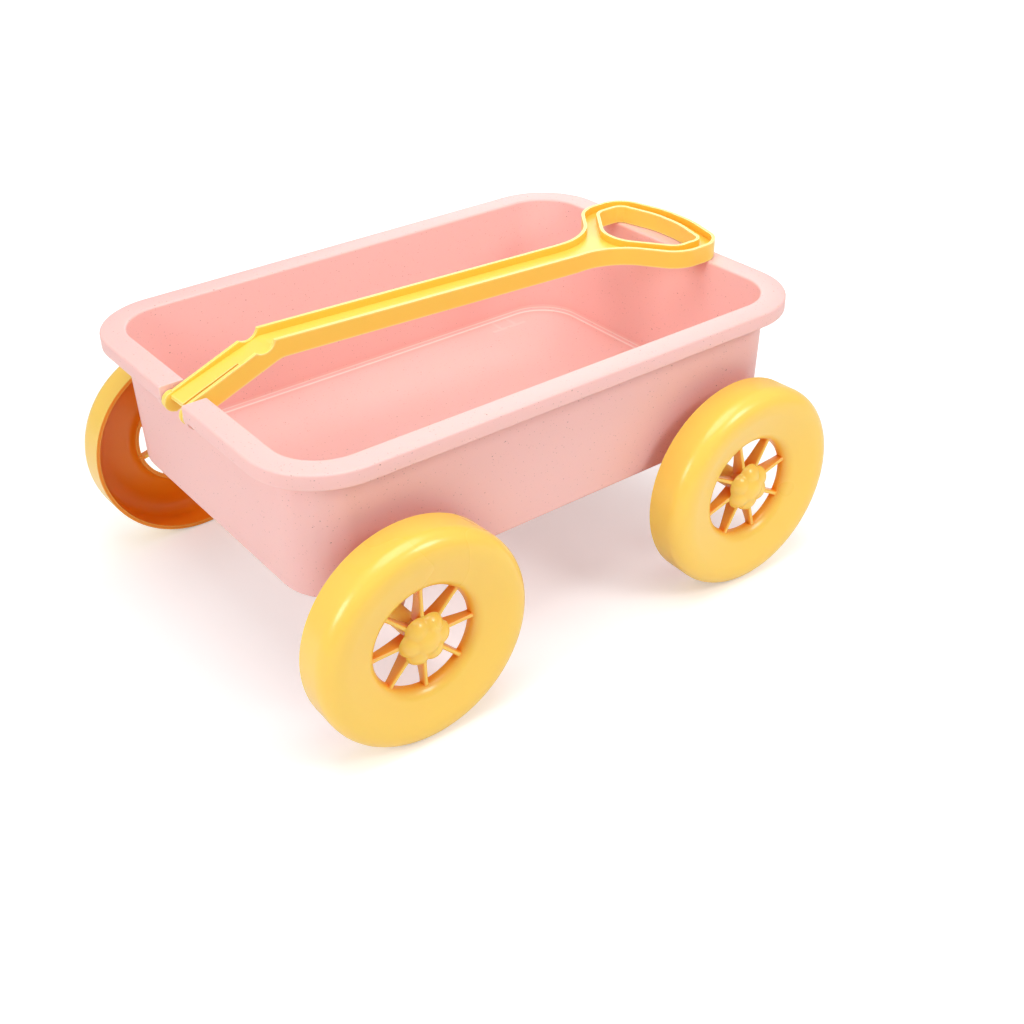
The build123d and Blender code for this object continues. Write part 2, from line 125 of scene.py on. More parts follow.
class Workpiece:
    """One mesh object on the bench, with operators that act on what is picked by place or normal."""

    def __init__(self, name: str, obj: bpy.types.Object) -> None:
        """Takes a fresh primitive, names it and puts its place into its mesh.

        Args:
            name: The piece's name.
            obj: The object, selected and active.
        """
        self.obj = obj
        self.rename(name)
        bpy.ops.object.transform_apply(location=True, rotation=True, scale=True)

    @classmethod
    def cube(cls, name: str, low: Sequence[float], high: Sequence[float]) -> Workpiece:
        """Adds a box between two corners.

        Args:
            name: The piece's name.
            low: Its lowest corner.
            high: Its highest corner.

        Returns:
            The new workpiece.
        """
        deselect_all()
        middle = [(a + b) / 2 for a, b in zip(low, high)]
        bpy.ops.mesh.primitive_cube_add(size=1, location=middle)
        bpy.context.object.scale = [b - a for a, b in zip(low, high)]
        return cls(name, bpy.context.object)

    @classmethod
    def rod(cls, name: str, radius: float, near: float, far: float, x: float, z: float, sides: int = 48) -> Workpiece:
        """Adds a cylinder that lies along Y.

        Args:
            name: The piece's name.
            radius: Its radius.
            near: Where it starts along Y.
            far: Where it ends along Y.
            x: The axis's place along X.
            z: The axis's height.
            sides: How many flats go round it.

        Returns:
            The new workpiece.
        """
        deselect_all()
        bpy.ops.mesh.primitive_cylinder_add(
            vertices=sides, radius=radius, depth=far - near, location=(x, (near + far) / 2, z),
            rotation=(math.pi / 2, 0, 0),
        )
        return cls(name, bpy.context.object)

    @classmethod
    def panel(cls, name: str, corners: Sequence[Point], z: float, radii: Sequence[float]) -> Workpiece:
        """Adds a flat face with given corners, then rounds each corner.

        Args:
            name: The piece's name.
            corners: The sharp corners, counterclockwise from above.
            z: The face's height.
            radii: One radius for each corner, nought for a sharp one.

        Returns:
            The new workpiece, one flat face that points up.
        """
        deselect_all()
        bpy.ops.mesh.primitive_circle_add(vertices=len(corners), radius=1, fill_type="NGON", location=(0, 0, z))
        piece = cls(name, bpy.context.object)
        for vert, (x, y) in zip(piece.obj.data.vertices, corners):
            vert.co = (x, y, z)
        piece.edit(Select.VERTS)
        for index, (corner, radius) in enumerate(zip(corners, radii)):
            if radius > 0:
                before = Vector(corners[index - 1]) - Vector(corner)
                after = Vector(corners[(index + 1) % len(corners)]) - Vector(corner)
                turn = math.pi - before.angle(after)
                segments = max(3, min(16, round(radius * turn / 1.2)))
                piece.pick(lambda v, c=corner: (v.co.xy - Vector(c)).length < NEAR)
                bpy.ops.mesh.bevel(affect="VERTICES", offset=radius * math.tan(turn / 2), segments=segments)
        piece.pick(lambda v: True)
        bpy.ops.mesh.normals_make_consistent(inside=False)
        piece.done()
        if piece.obj.data.polygons[0].normal.z < 0:
            piece.obj.data.flip_normals()
        return piece

    def rename(self, name: str) -> None:
        """Gives the object and its mesh a name."""
        self.obj.name = name
        self.obj.data.name = name

    def wake(self) -> None:
        """Makes this the one selected, active object."""
        deselect_all()
        self.obj.select_set(True)
        bpy.context.view_layer.objects.active = self.obj

    def edit(self, select: Select) -> None:
        """Opens the piece in edit mode with nothing selected.

        Args:
            select: What the operators will work on.
        """
        self.wake()
        bpy.ops.object.mode_set(mode="EDIT")
        bpy.ops.mesh.select_mode(type=select.value)
        bpy.ops.mesh.select_all(action="DESELECT")

    def done(self) -> None:
        """Closes edit mode."""
        bpy.ops.object.mode_set(mode="OBJECT")

    def pick(self, test: Callable[[object], bool]) -> int:
        """Selects what passes a test, in the current select mode.

        Args:
            test: Given a vertex, edge or face of the mesh, says whether it is wanted.

        Returns:
            How many were selected.
        """
        mesh = bmesh.from_edit_mesh(self.obj.data)
        mode = next(iter(mesh.select_mode))
        for item in (*mesh.verts, *mesh.edges, *mesh.faces):
            item.select = False
        found = [item for item in {"VERT": mesh.verts, "EDGE": mesh.edges, "FACE": mesh.faces}[mode] if test(item)]
        for item in found:
            item.select_set(True)
        mesh.select_flush_mode()
        bmesh.update_edit_mesh(self.obj.data)
        return len(found)

    def bevel_edges(self, test: Callable[[Vector], bool], width: float, segments: int) -> None:
        """Rounds every edge whose middle passes a test.

        Args:
            test: Given an edge's middle, says whether it is wanted.
            width: The bevel's width.
            segments: How many strips round it.
        """
        self.edit(Select.EDGES)
        if self.pick(lambda e: test((e.verts[0].co + e.verts[1].co) / 2)):
            bpy.ops.mesh.bevel(offset=width, segments=segments, clamp_overlap=False)
        self.done()

    def bisect(self, x: float) -> None:
        """Cuts a loop of edges right round the piece.

        Args:
            x: The loop's place along X.
        """
        self.edit(Select.VERTS)
        bpy.ops.mesh.select_all(action="SELECT")
        bpy.ops.mesh.bisect(plane_co=(x, 0, 0), plane_no=(1, 0, 0))
        self.done()

    def raise_by(self, height: float) -> None:
        """Extrudes a flat panel upward and closes it.

        Args:
            height: How far up it goes.
        """
        self.edit(Select.FACES)
        self.pick(lambda f: True)
        bpy.ops.mesh.extrude_region_move(TRANSFORM_OT_translate={"value": (0, 0, height)})
        self.done()
        self.clean()

    def apply(self, kind: str, **settings: object) -> None:
        """Adds a modifier and applies it.

        Args:
            kind: Blender's name for the modifier.
            **settings: Its settings.
        """
        self.wake()
        modifier = self.obj.modifiers.new(kind.lower(), kind)
        for key, value in settings.items():
            setattr(modifier, key, value)
        bpy.ops.object.modifier_apply(modifier=modifier.name)

    def combine(self, tool: Workpiece, join: Join) -> None:
        """Adds or cuts with another workpiece, which is used up.

        Args:
            tool: The other workpiece.
            join: Whether it is added or cut away.
        """
        self.apply("BOOLEAN", object=tool.obj, operation=join.value, solver="EXACT")
        bpy.data.objects.remove(tool.obj)

    def swallow(self, others: Sequence[Workpiece]) -> None:
        """Joins other workpieces into this one without cutting.

        Args:
            others: The workpieces, which are used up.
        """
        self.wake()
        for other in others:
            other.obj.select_set(True)
        bpy.ops.object.join()

    def soften(self, width: float, segments: int = 2, angle: float = 35.0) -> None:
        """Rounds every edge sharper than an angle, as a moulding's edges are.

        Args:
            width: The bevel's width.
            segments: How many strips round it.
            angle: Edges flatter than this, in degrees, are left.
        """
        self.apply(
            "BEVEL", width=width, segments=segments, limit_method="ANGLE", angle_limit=math.radians(angle),
            use_clamp_overlap=True, harden_normals=False,
        )

    def clean(self) -> None:
        """Merges doubles and points every face outward."""
        self.edit(Select.VERTS)
        bpy.ops.mesh.select_all(action="SELECT")
        bpy.ops.mesh.remove_doubles(threshold=NEAR / 10)
        bpy.ops.mesh.normals_make_consistent(inside=False)
        self.done()

    def copy(self, name: str) -> Workpiece:
        """Makes a copy with a mesh of its own.

        Args:
            name: The copy's name.

        Returns:
            The copy.
        """
        self.wake()
        bpy.ops.object.duplicate()
        twin = Workpiece(name, bpy.context.object)
        twin.obj.data = twin.obj.data if twin.obj.data.users == 1 else twin.obj.data.copy()
        twin.rename(name)
        return twin

    def move(self, matrix: Matrix) -> None:
        """Moves the mesh, and turns it right side out again if the move mirrored it.

        Args:
            matrix: The move.
        """
        self.obj.data.transform(matrix)
        if matrix.determinant() < 0:
            self.obj.data.flip_normals()

    def finish(self, body: str, node: str, slot: str, material: bpy.types.Material, smooth: float = 30.0) -> None:
        """Makes the piece metres, dresses it and hands it to the frame.

        Args:
            body: The body it rides on.
            node: The CAD node it stands for.
            slot: A material slot's name; not used.
            material: What it is dressed in.
            smooth: Edges flatter than this, in degrees, are shaded smooth.
        """
        self.obj.data.transform(Matrix.Scale(MM, 4))
        self.wake()
        bpy.ops.object.shade_smooth_by_angle(angle=math.radians(smooth))
        self.obj.data.materials.clear()
        self.obj.data.materials.append(material)
        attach(self.obj, body)
        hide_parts(node)
        triangles = sum(len(p.vertices) - 2 for p in self.obj.data.polygons)
        log.info("%s: %d triangles, rides on %s", self.obj.name, triangles, body)


# ---------------------------------------------------------------- finishes
class Graph:
    """Short ways to add and link shader nodes."""

    def __init__(self, tree: bpy.types.NodeTree) -> None:
        """Works on one node tree."""
        self.tree = tree

    def node(self, kind: str, **inputs: object) -> bpy.types.Node:
        """Adds a node and sets or links its inputs.

        Args:
            kind: The node's type.
            **inputs: Values or output sockets by input name; names that start with set_ are properties.

        Returns:
            The new node.
        """
        made = self.tree.nodes.new(kind)
        for key, value in inputs.items():
            if key.startswith("set_"):
                setattr(made, key[4:], value)
        for key, value in inputs.items():
            if not key.startswith("set_"):
                name = key.replace("_", " ")
                socket = made.inputs[int(key[1:])] if key[0] == "i" and key[1:].isdigit() else made.inputs[name]
                self.feed(socket, value)
        return made

    def feed(self, socket: bpy.types.NodeSocket, value: object) -> None:
        """Links an output socket, or sets a plain value.

        Args:
            socket: The input.
            value: An output socket, or what the input is set to.
        """
        if isinstance(value, bpy.types.NodeSocket):
            self.tree.links.new(value, socket)
        elif isinstance(value, tuple) and len(value) == 3 and socket.type == "RGBA":
            socket.default_value = (*value, 1)
        else:
            socket.default_value = value

    def math(self, operation: str, first: object, second: object = 0.0, clamp: bool = False) -> bpy.types.NodeSocket:
        """Adds a Math node and returns its output."""
        made = self.node("ShaderNodeMath", set_operation=operation, set_use_clamp=clamp, i0=first, i1=second)
        return made.outputs[0]

    def fade(self, value: object, low: float, high: float) -> bpy.types.NodeSocket:
        """Adds a smooth ramp of a value.

        Args:
            value: What is ramped.
            low: Where the ramp is nought.
            high: Where it is one.

        Returns:
            The ramp's output.
        """
        ramp = self.node(
            "ShaderNodeMapRange", set_interpolation_type="SMOOTHSTEP", Value=value, From_Min=low, From_Max=high
        )
        return ramp.outputs[0]

    def mix(self, share: object, first: object, second: object) -> bpy.types.NodeSocket:
        """Mixes two colours.

        Args:
            share: How much of the second there is.
            first: The first colour.
            second: The second colour.

        Returns:
            The mixed colour.
        """
        made = self.node("ShaderNodeMix", set_data_type="RGBA")
        self.feed(made.inputs["Factor"], share)
        self.feed(made.inputs[6], first)
        self.feed(made.inputs[7], second)
        return made.outputs[2]


class Effects:
    """The shared effects, each a node group that is built once."""

    def __init__(self) -> None:
        """Builds the groups."""
        self.grain = self.moulded_grain()
        self.flecks = self.straw_flecks()
        self.edge = self.painted_edge_highlight()
        self.seam = self.painted_fillet_highlights()

    @staticmethod
    def group(name: str, inputs: dict[str, str], outputs: dict[str, str]) -> tuple[bpy.types.NodeTree, Graph]:
        """Makes an empty group with its sockets.

        Args:
            name: The group's name.
            inputs: Socket type by input name.
            outputs: Socket type by output name.

        Returns:
            The group and its graph.
        """
        tree = bpy.data.node_groups.new(name, "ShaderNodeTree")
        for in_out, sockets in (("INPUT", inputs), ("OUTPUT", outputs)):
            for key, kind in sockets.items():
                tree.interface.new_socket(name=key, in_out=in_out, socket_type=f"NodeSocket{kind}")
        return tree, Graph(tree)

    def moulded_grain(self) -> bpy.types.NodeTree:
        """Builds the fine grain of a moulded surface, with broad patches and sink marks.

        Returns:
            The group: Height for a bump, Patch from 0 to 1 for colour and gloss.
        """
        tree, graph = self.group(
            "moulded_grain", {"Vector": "Vector", "Scale": "Float"}, {"Height": "Float", "Patch": "Float"}
        )
        given = graph.node("NodeGroupInput").outputs
        fine = graph.node(
            "ShaderNodeTexNoise", Vector=given["Vector"], Scale=given["Scale"], Detail=3.0, Roughness=0.6
        )
        broad_scale = graph.math("MULTIPLY", given["Scale"], 0.012)
        broad = graph.node("ShaderNodeTexNoise", Vector=given["Vector"], Scale=broad_scale, Detail=2.0)
        waves = graph.math("MULTIPLY", broad.outputs["Fac"], 2.2)
        height = graph.math("ADD", fine.outputs["Fac"], waves)
        patch = graph.fade(broad.outputs["Fac"], 0.1, 0.9)
        graph.node("NodeGroupOutput", Height=height, Patch=patch)
        return tree

    def straw_flecks(self) -> bpy.types.NodeTree:
        """Builds the small dark straw flecks that show in the tub's plastic.

        Returns:
            The group: Mask from 0 to 1.
        """
        tree, graph = self.group(
            "straw_flecks",
            {"Vector": "Vector", "Scale": "Float", "Size": "Float", "Share": "Float"},
            {"Mask": "Float"},
        )
        given = graph.node("NodeGroupInput").outputs
        warp = graph.node("ShaderNodeTexNoise", Vector=given["Vector"], Scale=900.0, Detail=1.0)
        centred = graph.node("ShaderNodeVectorMath", set_operation="SUBTRACT", i0=warp.outputs["Color"])
        centred.inputs[1].default_value = (0.5, 0.5, 0.5)
        shift = graph.node("ShaderNodeVectorMath", set_operation="SCALE", i0=centred.outputs[0], Scale=0.0006)
        moved = graph.node("ShaderNodeVectorMath", set_operation="ADD", i0=given["Vector"], i1=shift.outputs[0])
        masks = []
        for turn, squeeze in (((0.4, 0.9, 0.2), (1.0, 0.55, 1.0)), ((1.3, 0.1, 0.8), (0.6, 1.0, 1.0))):
            mapped = graph.node("ShaderNodeMapping", Vector=moved.outputs[0], Rotation=turn, Scale=squeeze)
            cells = graph.node("ShaderNodeTexVoronoi", Vector=mapped.outputs[0], Scale=given["Scale"])
            lot = graph.node("ShaderNodeSeparateColor", Color=cells.outputs["Color"]).outputs
            chosen = graph.math("LESS_THAN", lot["Red"], given["Share"])
            reach = graph.math("MULTIPLY", given["Size"], graph.math("ADD", lot["Green"], 0.35))
            inside = graph.math("SUBTRACT", reach, cells.outputs["Distance"])
            soft = graph.math("DIVIDE", inside, 0.05, clamp=True)
            masks.append(graph.math("MULTIPLY", soft, chosen))
        graph.node("NodeGroupOutput", Mask=graph.math("MAXIMUM", *masks))
        return tree

    def painted_edge_highlight(self) -> bpy.types.NodeTree:
        """Builds a mask of convex edges, where a painted highlight makes a thin moulded edge lighter, and the gloss
        smoother.

        Returns:
            The group: Mask from 0 to 1 out of how thick the plastic is behind the surface and how open it lies.
        """
        tree, graph = self.group(
            "painted_edge_highlight", {"Thick": "Float", "Open": "Float", "Patch": "Float"}, {"Mask": "Float"}
        )
        given = graph.node("NodeGroupInput").outputs
        sharp = graph.fade(graph.math("SUBTRACT", 1.0, given["Thick"]), 0.06, 0.4)
        open_sharp = graph.math("MULTIPLY", sharp, graph.math("POWER", given["Open"], 1.5))
        share = graph.math("ADD", graph.math("MULTIPLY", given["Patch"], 0.5), 0.5)
        graph.node("NodeGroupOutput", Mask=graph.math("MULTIPLY", open_sharp, share))
        return tree

    def painted_fillet_highlights(self) -> bpy.types.NodeTree:
        """Builds the two thin painted highlight lines where a moulded floor turns into its walls.

        Returns:
            The group: Mask from 0 to 1 on upward-facing curves below a height.
        """
        tree, graph = self.group(
            "painted_fillet_highlights", {"Vector": "Vector", "Normal": "Vector", "Top": "Float"}, {"Mask": "Float"}
        )
        given = graph.node("NodeGroupInput").outputs
        height = graph.node("ShaderNodeSeparateXYZ", Vector=given["Vector"]).outputs["Z"]
        tilt = graph.node("ShaderNodeSeparateXYZ", Vector=given["Normal"]).outputs["Z"]
        low = graph.math("LESS_THAN", height, given["Top"])
        lines = [
            graph.math("SUBTRACT", 1.0, graph.math("DIVIDE", graph.math("ABSOLUTE", off), width), clamp=True)
            for off, width in (
                (graph.math("SUBTRACT", tilt, 0.25), 0.2),
                (graph.math("SUBTRACT", tilt, 0.85), 0.13),
            )
        ]
        graph.node("NodeGroupOutput", Mask=graph.math("MULTIPLY", low, graph.math("MAXIMUM", *lines)))
        return tree


@dataclass(frozen=True)
class FleckSize:
    """One size of straw fleck and how strongly it shows."""

    scale: float
    size: float
    share: float
    strength: float


SMALL_FLECKS = FleckSize(600.0, 0.13, 0.85, 0.34)
BIG_FLECKS = FleckSize(300.0, 0.078, 0.6, 0.7)


@dataclass(frozen=True)
class Plastic:
    """A moulded plastic, with its own colour in the open, painted shade in recesses and painted highlights along
    edges.
    """

    name: str
    open_colour: Colour
    # Painted shade: the darker colour that recesses and shut-in places are painted in.
    recess_shade_colour: Colour
    # Painted highlight: the lighter colour of thin edges and of the floor fillet lines.
    highlight_colour: Colour
    roughness: float
    grain_scale: float
    grain_depth: float
    recess_shade_reach: float = 0.02
    recess_shade_share: float = 0.8
    edge_highlight_share: float = 0.5
    recess_shade_range: tuple[float, float] = (0.15, 0.95)
    edge_reach: float = 0.0012
    glow: float = 0.1
    glow_radius: Colour = (1.0, 0.5, 0.25)
    coat: float = 0.0
    coat_roughness: float = 0.16
    dull_hollow: bool = False
    glow_scale: float = 0.003
    specular: float = 0.5
    grain_strength: float = 0.35
    patch_share: float = 0.2
    fleck_colour: Colour | None = None
    fillet_top: float | None = None

    def make(self, effects: Effects) -> bpy.types.Material:
        """Builds the material.

        Args:
            effects: The shared node groups.

        Returns:
            The material.
        """
        material = bpy.data.materials.new(self.name)
        material.use_nodes = True
        graph = Graph(material.node_tree)
        shader = material.node_tree.nodes["Principled BSDF"]
        place = graph.node("ShaderNodeTexCoord").outputs["Object"]
        grain = graph.node("ShaderNodeGroup", set_node_tree=effects.grain, Vector=place, Scale=self.grain_scale)
        patch = grain.outputs["Patch"]
        shut = graph.node(
            "ShaderNodeAmbientOcclusion", set_samples=8, set_only_local=True, Distance=self.recess_shade_reach
        )
        openness = shut.outputs["AO"]
        thick = graph.node(
            "ShaderNodeAmbientOcclusion",
            set_samples=8,
            set_inside=True,
            set_only_local=True,
            Distance=self.edge_reach,
        )
        edge = graph.node(
            "ShaderNodeGroup", set_node_tree=effects.edge, Thick=thick.outputs["AO"], Open=openness, Patch=patch
        ).outputs["Mask"]
        # Painted shade: where ambient occlusion finds the surface shut in, and on faces marked hollow, the colour is
        # darkened towards the recess colour.
        shut_in = graph.math("SUBTRACT", 1.0, graph.fade(openness, *self.recess_shade_range))
        recess_shade = graph.math("MULTIPLY", shut_in, self.recess_shade_share)
        # Painted shade: faces marked hollow inside the wheel also take the recess colour.
        hollow = graph.node("ShaderNodeAttribute", set_attribute_name="hollow").outputs["Fac"]
        recess_shade = graph.math("MAXIMUM", recess_shade, graph.math("MULTIPLY", hollow, self.recess_shade_share))
        colour = graph.mix(recess_shade, self.open_colour, self.recess_shade_colour)
        paler = tuple(min(1.0, c * 1.06) for c in self.open_colour)
        colour = graph.mix(graph.math("MULTIPLY", patch, self.patch_share), colour, paler)
        # Painted highlight along thin convex edges.
        colour = graph.mix(graph.math("MULTIPLY", edge, self.edge_highlight_share), colour, self.highlight_colour)
        if self.fleck_colour is not None:
            for flecks in (SMALL_FLECKS, BIG_FLECKS):
                mask = graph.node(
                    "ShaderNodeGroup",
                    set_node_tree=effects.flecks,
                    Vector=place,
                    Scale=flecks.scale,
                    Size=flecks.size,
                    Share=flecks.share,
                ).outputs["Mask"]
                colour = graph.mix(graph.math("MULTIPLY", mask, flecks.strength), colour, self.fleck_colour)
        # Painted highlight: two pale lines on the fillet between floor and walls.
        if self.fillet_top is not None:
            seam = graph.node("ShaderNodeGroup", set_node_tree=effects.seam, Vector=place, Top=self.fillet_top)
            graph.feed(seam.inputs["Normal"], graph.node("ShaderNodeTexCoord").outputs["Normal"])
            colour = graph.mix(seam.outputs["Mask"], colour, self.highlight_colour)
        graph.feed(shader.inputs["Base Color"], colour)
        rough = graph.math("ADD", graph.math("MULTIPLY", patch, 0.1), self.roughness - 0.05)
        rough = graph.math("SUBTRACT", rough, graph.math("MULTIPLY", edge, 0.08), clamp=True)
        graph.feed(shader.inputs["Roughness"], rough)
        bump = graph.node(
            "ShaderNodeBump", Strength=self.grain_strength, Distance=self.grain_depth, Height=grain.outputs["Height"]
        )
        graph.feed(shader.inputs["Normal"], bump.outputs[0])
        shader.inputs["Subsurface Weight"].default_value = self.glow
        shader.inputs["Subsurface Radius"].default_value = self.glow_radius
        shader.inputs["Subsurface Scale"].default_value = self.glow_scale
        shader.inputs["Specular IOR Level"].default_value = self.specular
        shader.inputs["Coat Weight"].default_value = self.coat
        if self.dull_hollow:
            outside = graph.math("SUBTRACT", 1.0, hollow)
            graph.feed(shader.inputs["Coat Weight"], graph.math("MULTIPLY", outside, self.coat))
        shader.inputs["Coat Roughness"].default_value = self.coat_roughness
        return material


@dataclass(frozen=True)
class Steel:
    """Drawn and plated steel."""

    name: str
    colour: Colour
    roughness: float

    def make(self, effects: Effects) -> bpy.types.Material:
        """Builds the material.

        Args:
            effects: The shared node groups.

        Returns:
            The material.
        """
        material = bpy.data.materials.new(self.name)
        material.use_nodes = True
        graph = Graph(material.node_tree)
        shader = material.node_tree.nodes["Principled BSDF"]
        place = graph.node("ShaderNodeTexCoord").outputs["Object"]
        drawn = graph.node("ShaderNodeMapping", Vector=place, Scale=(1.0, 0.05, 1.0)).outputs[0]
        grain = graph.node("ShaderNodeGroup", set_node_tree=effects.grain, Vector=drawn, Scale=2500.0)
        dull = tuple(c * 0.7 for c in self.colour)
        graph.feed(shader.inputs["Base Color"], graph.mix(grain.outputs["Patch"], self.colour, dull))
        graph.feed(
            shader.inputs["Roughness"],
            graph.math("ADD", graph.math("MULTIPLY", grain.outputs["Patch"], 0.15), self.roughness),
        )
        bump = graph.node("ShaderNodeBump", Strength=0.3, Distance=0.00003, Height=grain.outputs["Height"])
        graph.feed(shader.inputs["Normal"], bump.outputs[0])
        shader.inputs["Metallic"].default_value = 1.0
        return material


PINK = Plastic(
    "speckled_pink",
    open_colour=display(247, 196, 190),
    # Painted shade in recesses and under the rim; painted highlight on edges and the floor fillet.
    recess_shade_colour=display(231, 140, 120),
    highlight_colour=display(255, 230, 222),
    recess_shade_reach=0.012,
    edge_highlight_share=0.4,
    fillet_top=0.0745,
    roughness=0.42,
    grain_scale=2200.0,
    grain_depth=0.00008,
    glow=0.15,
    fleck_colour=display(122, 78, 58),
)
YELLOW = Plastic(
    "yellow_handle",
    open_colour=display(255, 217, 92),
    # Painted shade in the channel and recesses; painted highlight along the flange edges.
    recess_shade_colour=display(252, 178, 24),
    recess_shade_share=0.7,
    highlight_colour=display(255, 243, 160),
    edge_highlight_share=0.85,
    roughness=0.34,
    grain_scale=1500.0,
    grain_depth=0.00005,
    glow=0.15,
    glow_radius=(1.0, 0.45, 0.08),
    coat=0.15,
)
ORANGE_YELLOW = Plastic(
    "yellow_wheel",
    open_colour=display(255, 208, 88),
    # Painted shade in the spoke gaps and inside the tyre; painted highlight along edges.
    recess_shade_colour=display(255, 136, 0),
    highlight_colour=display(255, 226, 120),
    recess_shade_reach=0.02,
    roughness=0.3,
    grain_scale=1300.0,
    grain_depth=0.00005,
    recess_shade_share=1.0,
    recess_shade_range=(0.5, 0.99),
    glow=0.15,
    glow_radius=(1.0, 0.4, 0.05),
    coat=0.3,
    dull_hollow=True,
)
AXLE_STEEL = Steel("axle_steel", display(196, 198, 202), 0.3)
NUT_STEEL = Steel("nut_steel", display(176, 178, 184), 0.38)


# ---------------------------------------------------------------- plan outlines
def ring_depth(point: Vector, length: float, width: float, corner: float) -> float:
    """Says how far a point lies inside a rounded rectangle centred on the origin.

    Args:
        point: The point; its height is ignored.
        length: The rectangle's length along X.
        width: Its width along Y.
        corner: Its corner radius.

    Returns:
        The distance to the outline, positive inside.
    """
    across = abs(point.x) - (length / 2 - corner)
    up = abs(point.y) - (width / 2 - corner)
    outside = math.hypot(max(across, 0.0), max(up, 0.0))
    return corner - outside - min(max(across, up), 0.0)


def pushed(corners: Sequence[Point], distance: float) -> list[Point]:
    """Moves every side of a counterclockwise polygon outward.

    Args:
        corners: The polygon's corners.
        distance: How far its sides move.

    Returns:
        The new corners.
    """
    points = [Vector(c) for c in corners]
    ways = [(after - before).normalized() for before, after in zip(points, points[1:] + points[:1])]
    moved = []
    for point, way_in, way_out in zip(points, ways[-1:] + ways[:-1], ways):
        right_in = Vector((way_in.y, -way_in.x))
        right_out = Vector((way_out.y, -way_out.x))
        share = distance / (1 + right_in.dot(right_out))
        moved.append(tuple(point + (right_in + right_out) * share))
    return moved


def mirrored(upper: Sequence[Point]) -> list[Point]:
    """Closes a half outline with its mirror image across the wagon's middle."""
    return [*upper, *((x, -y) for x, y in reversed(upper) if y > 0)]


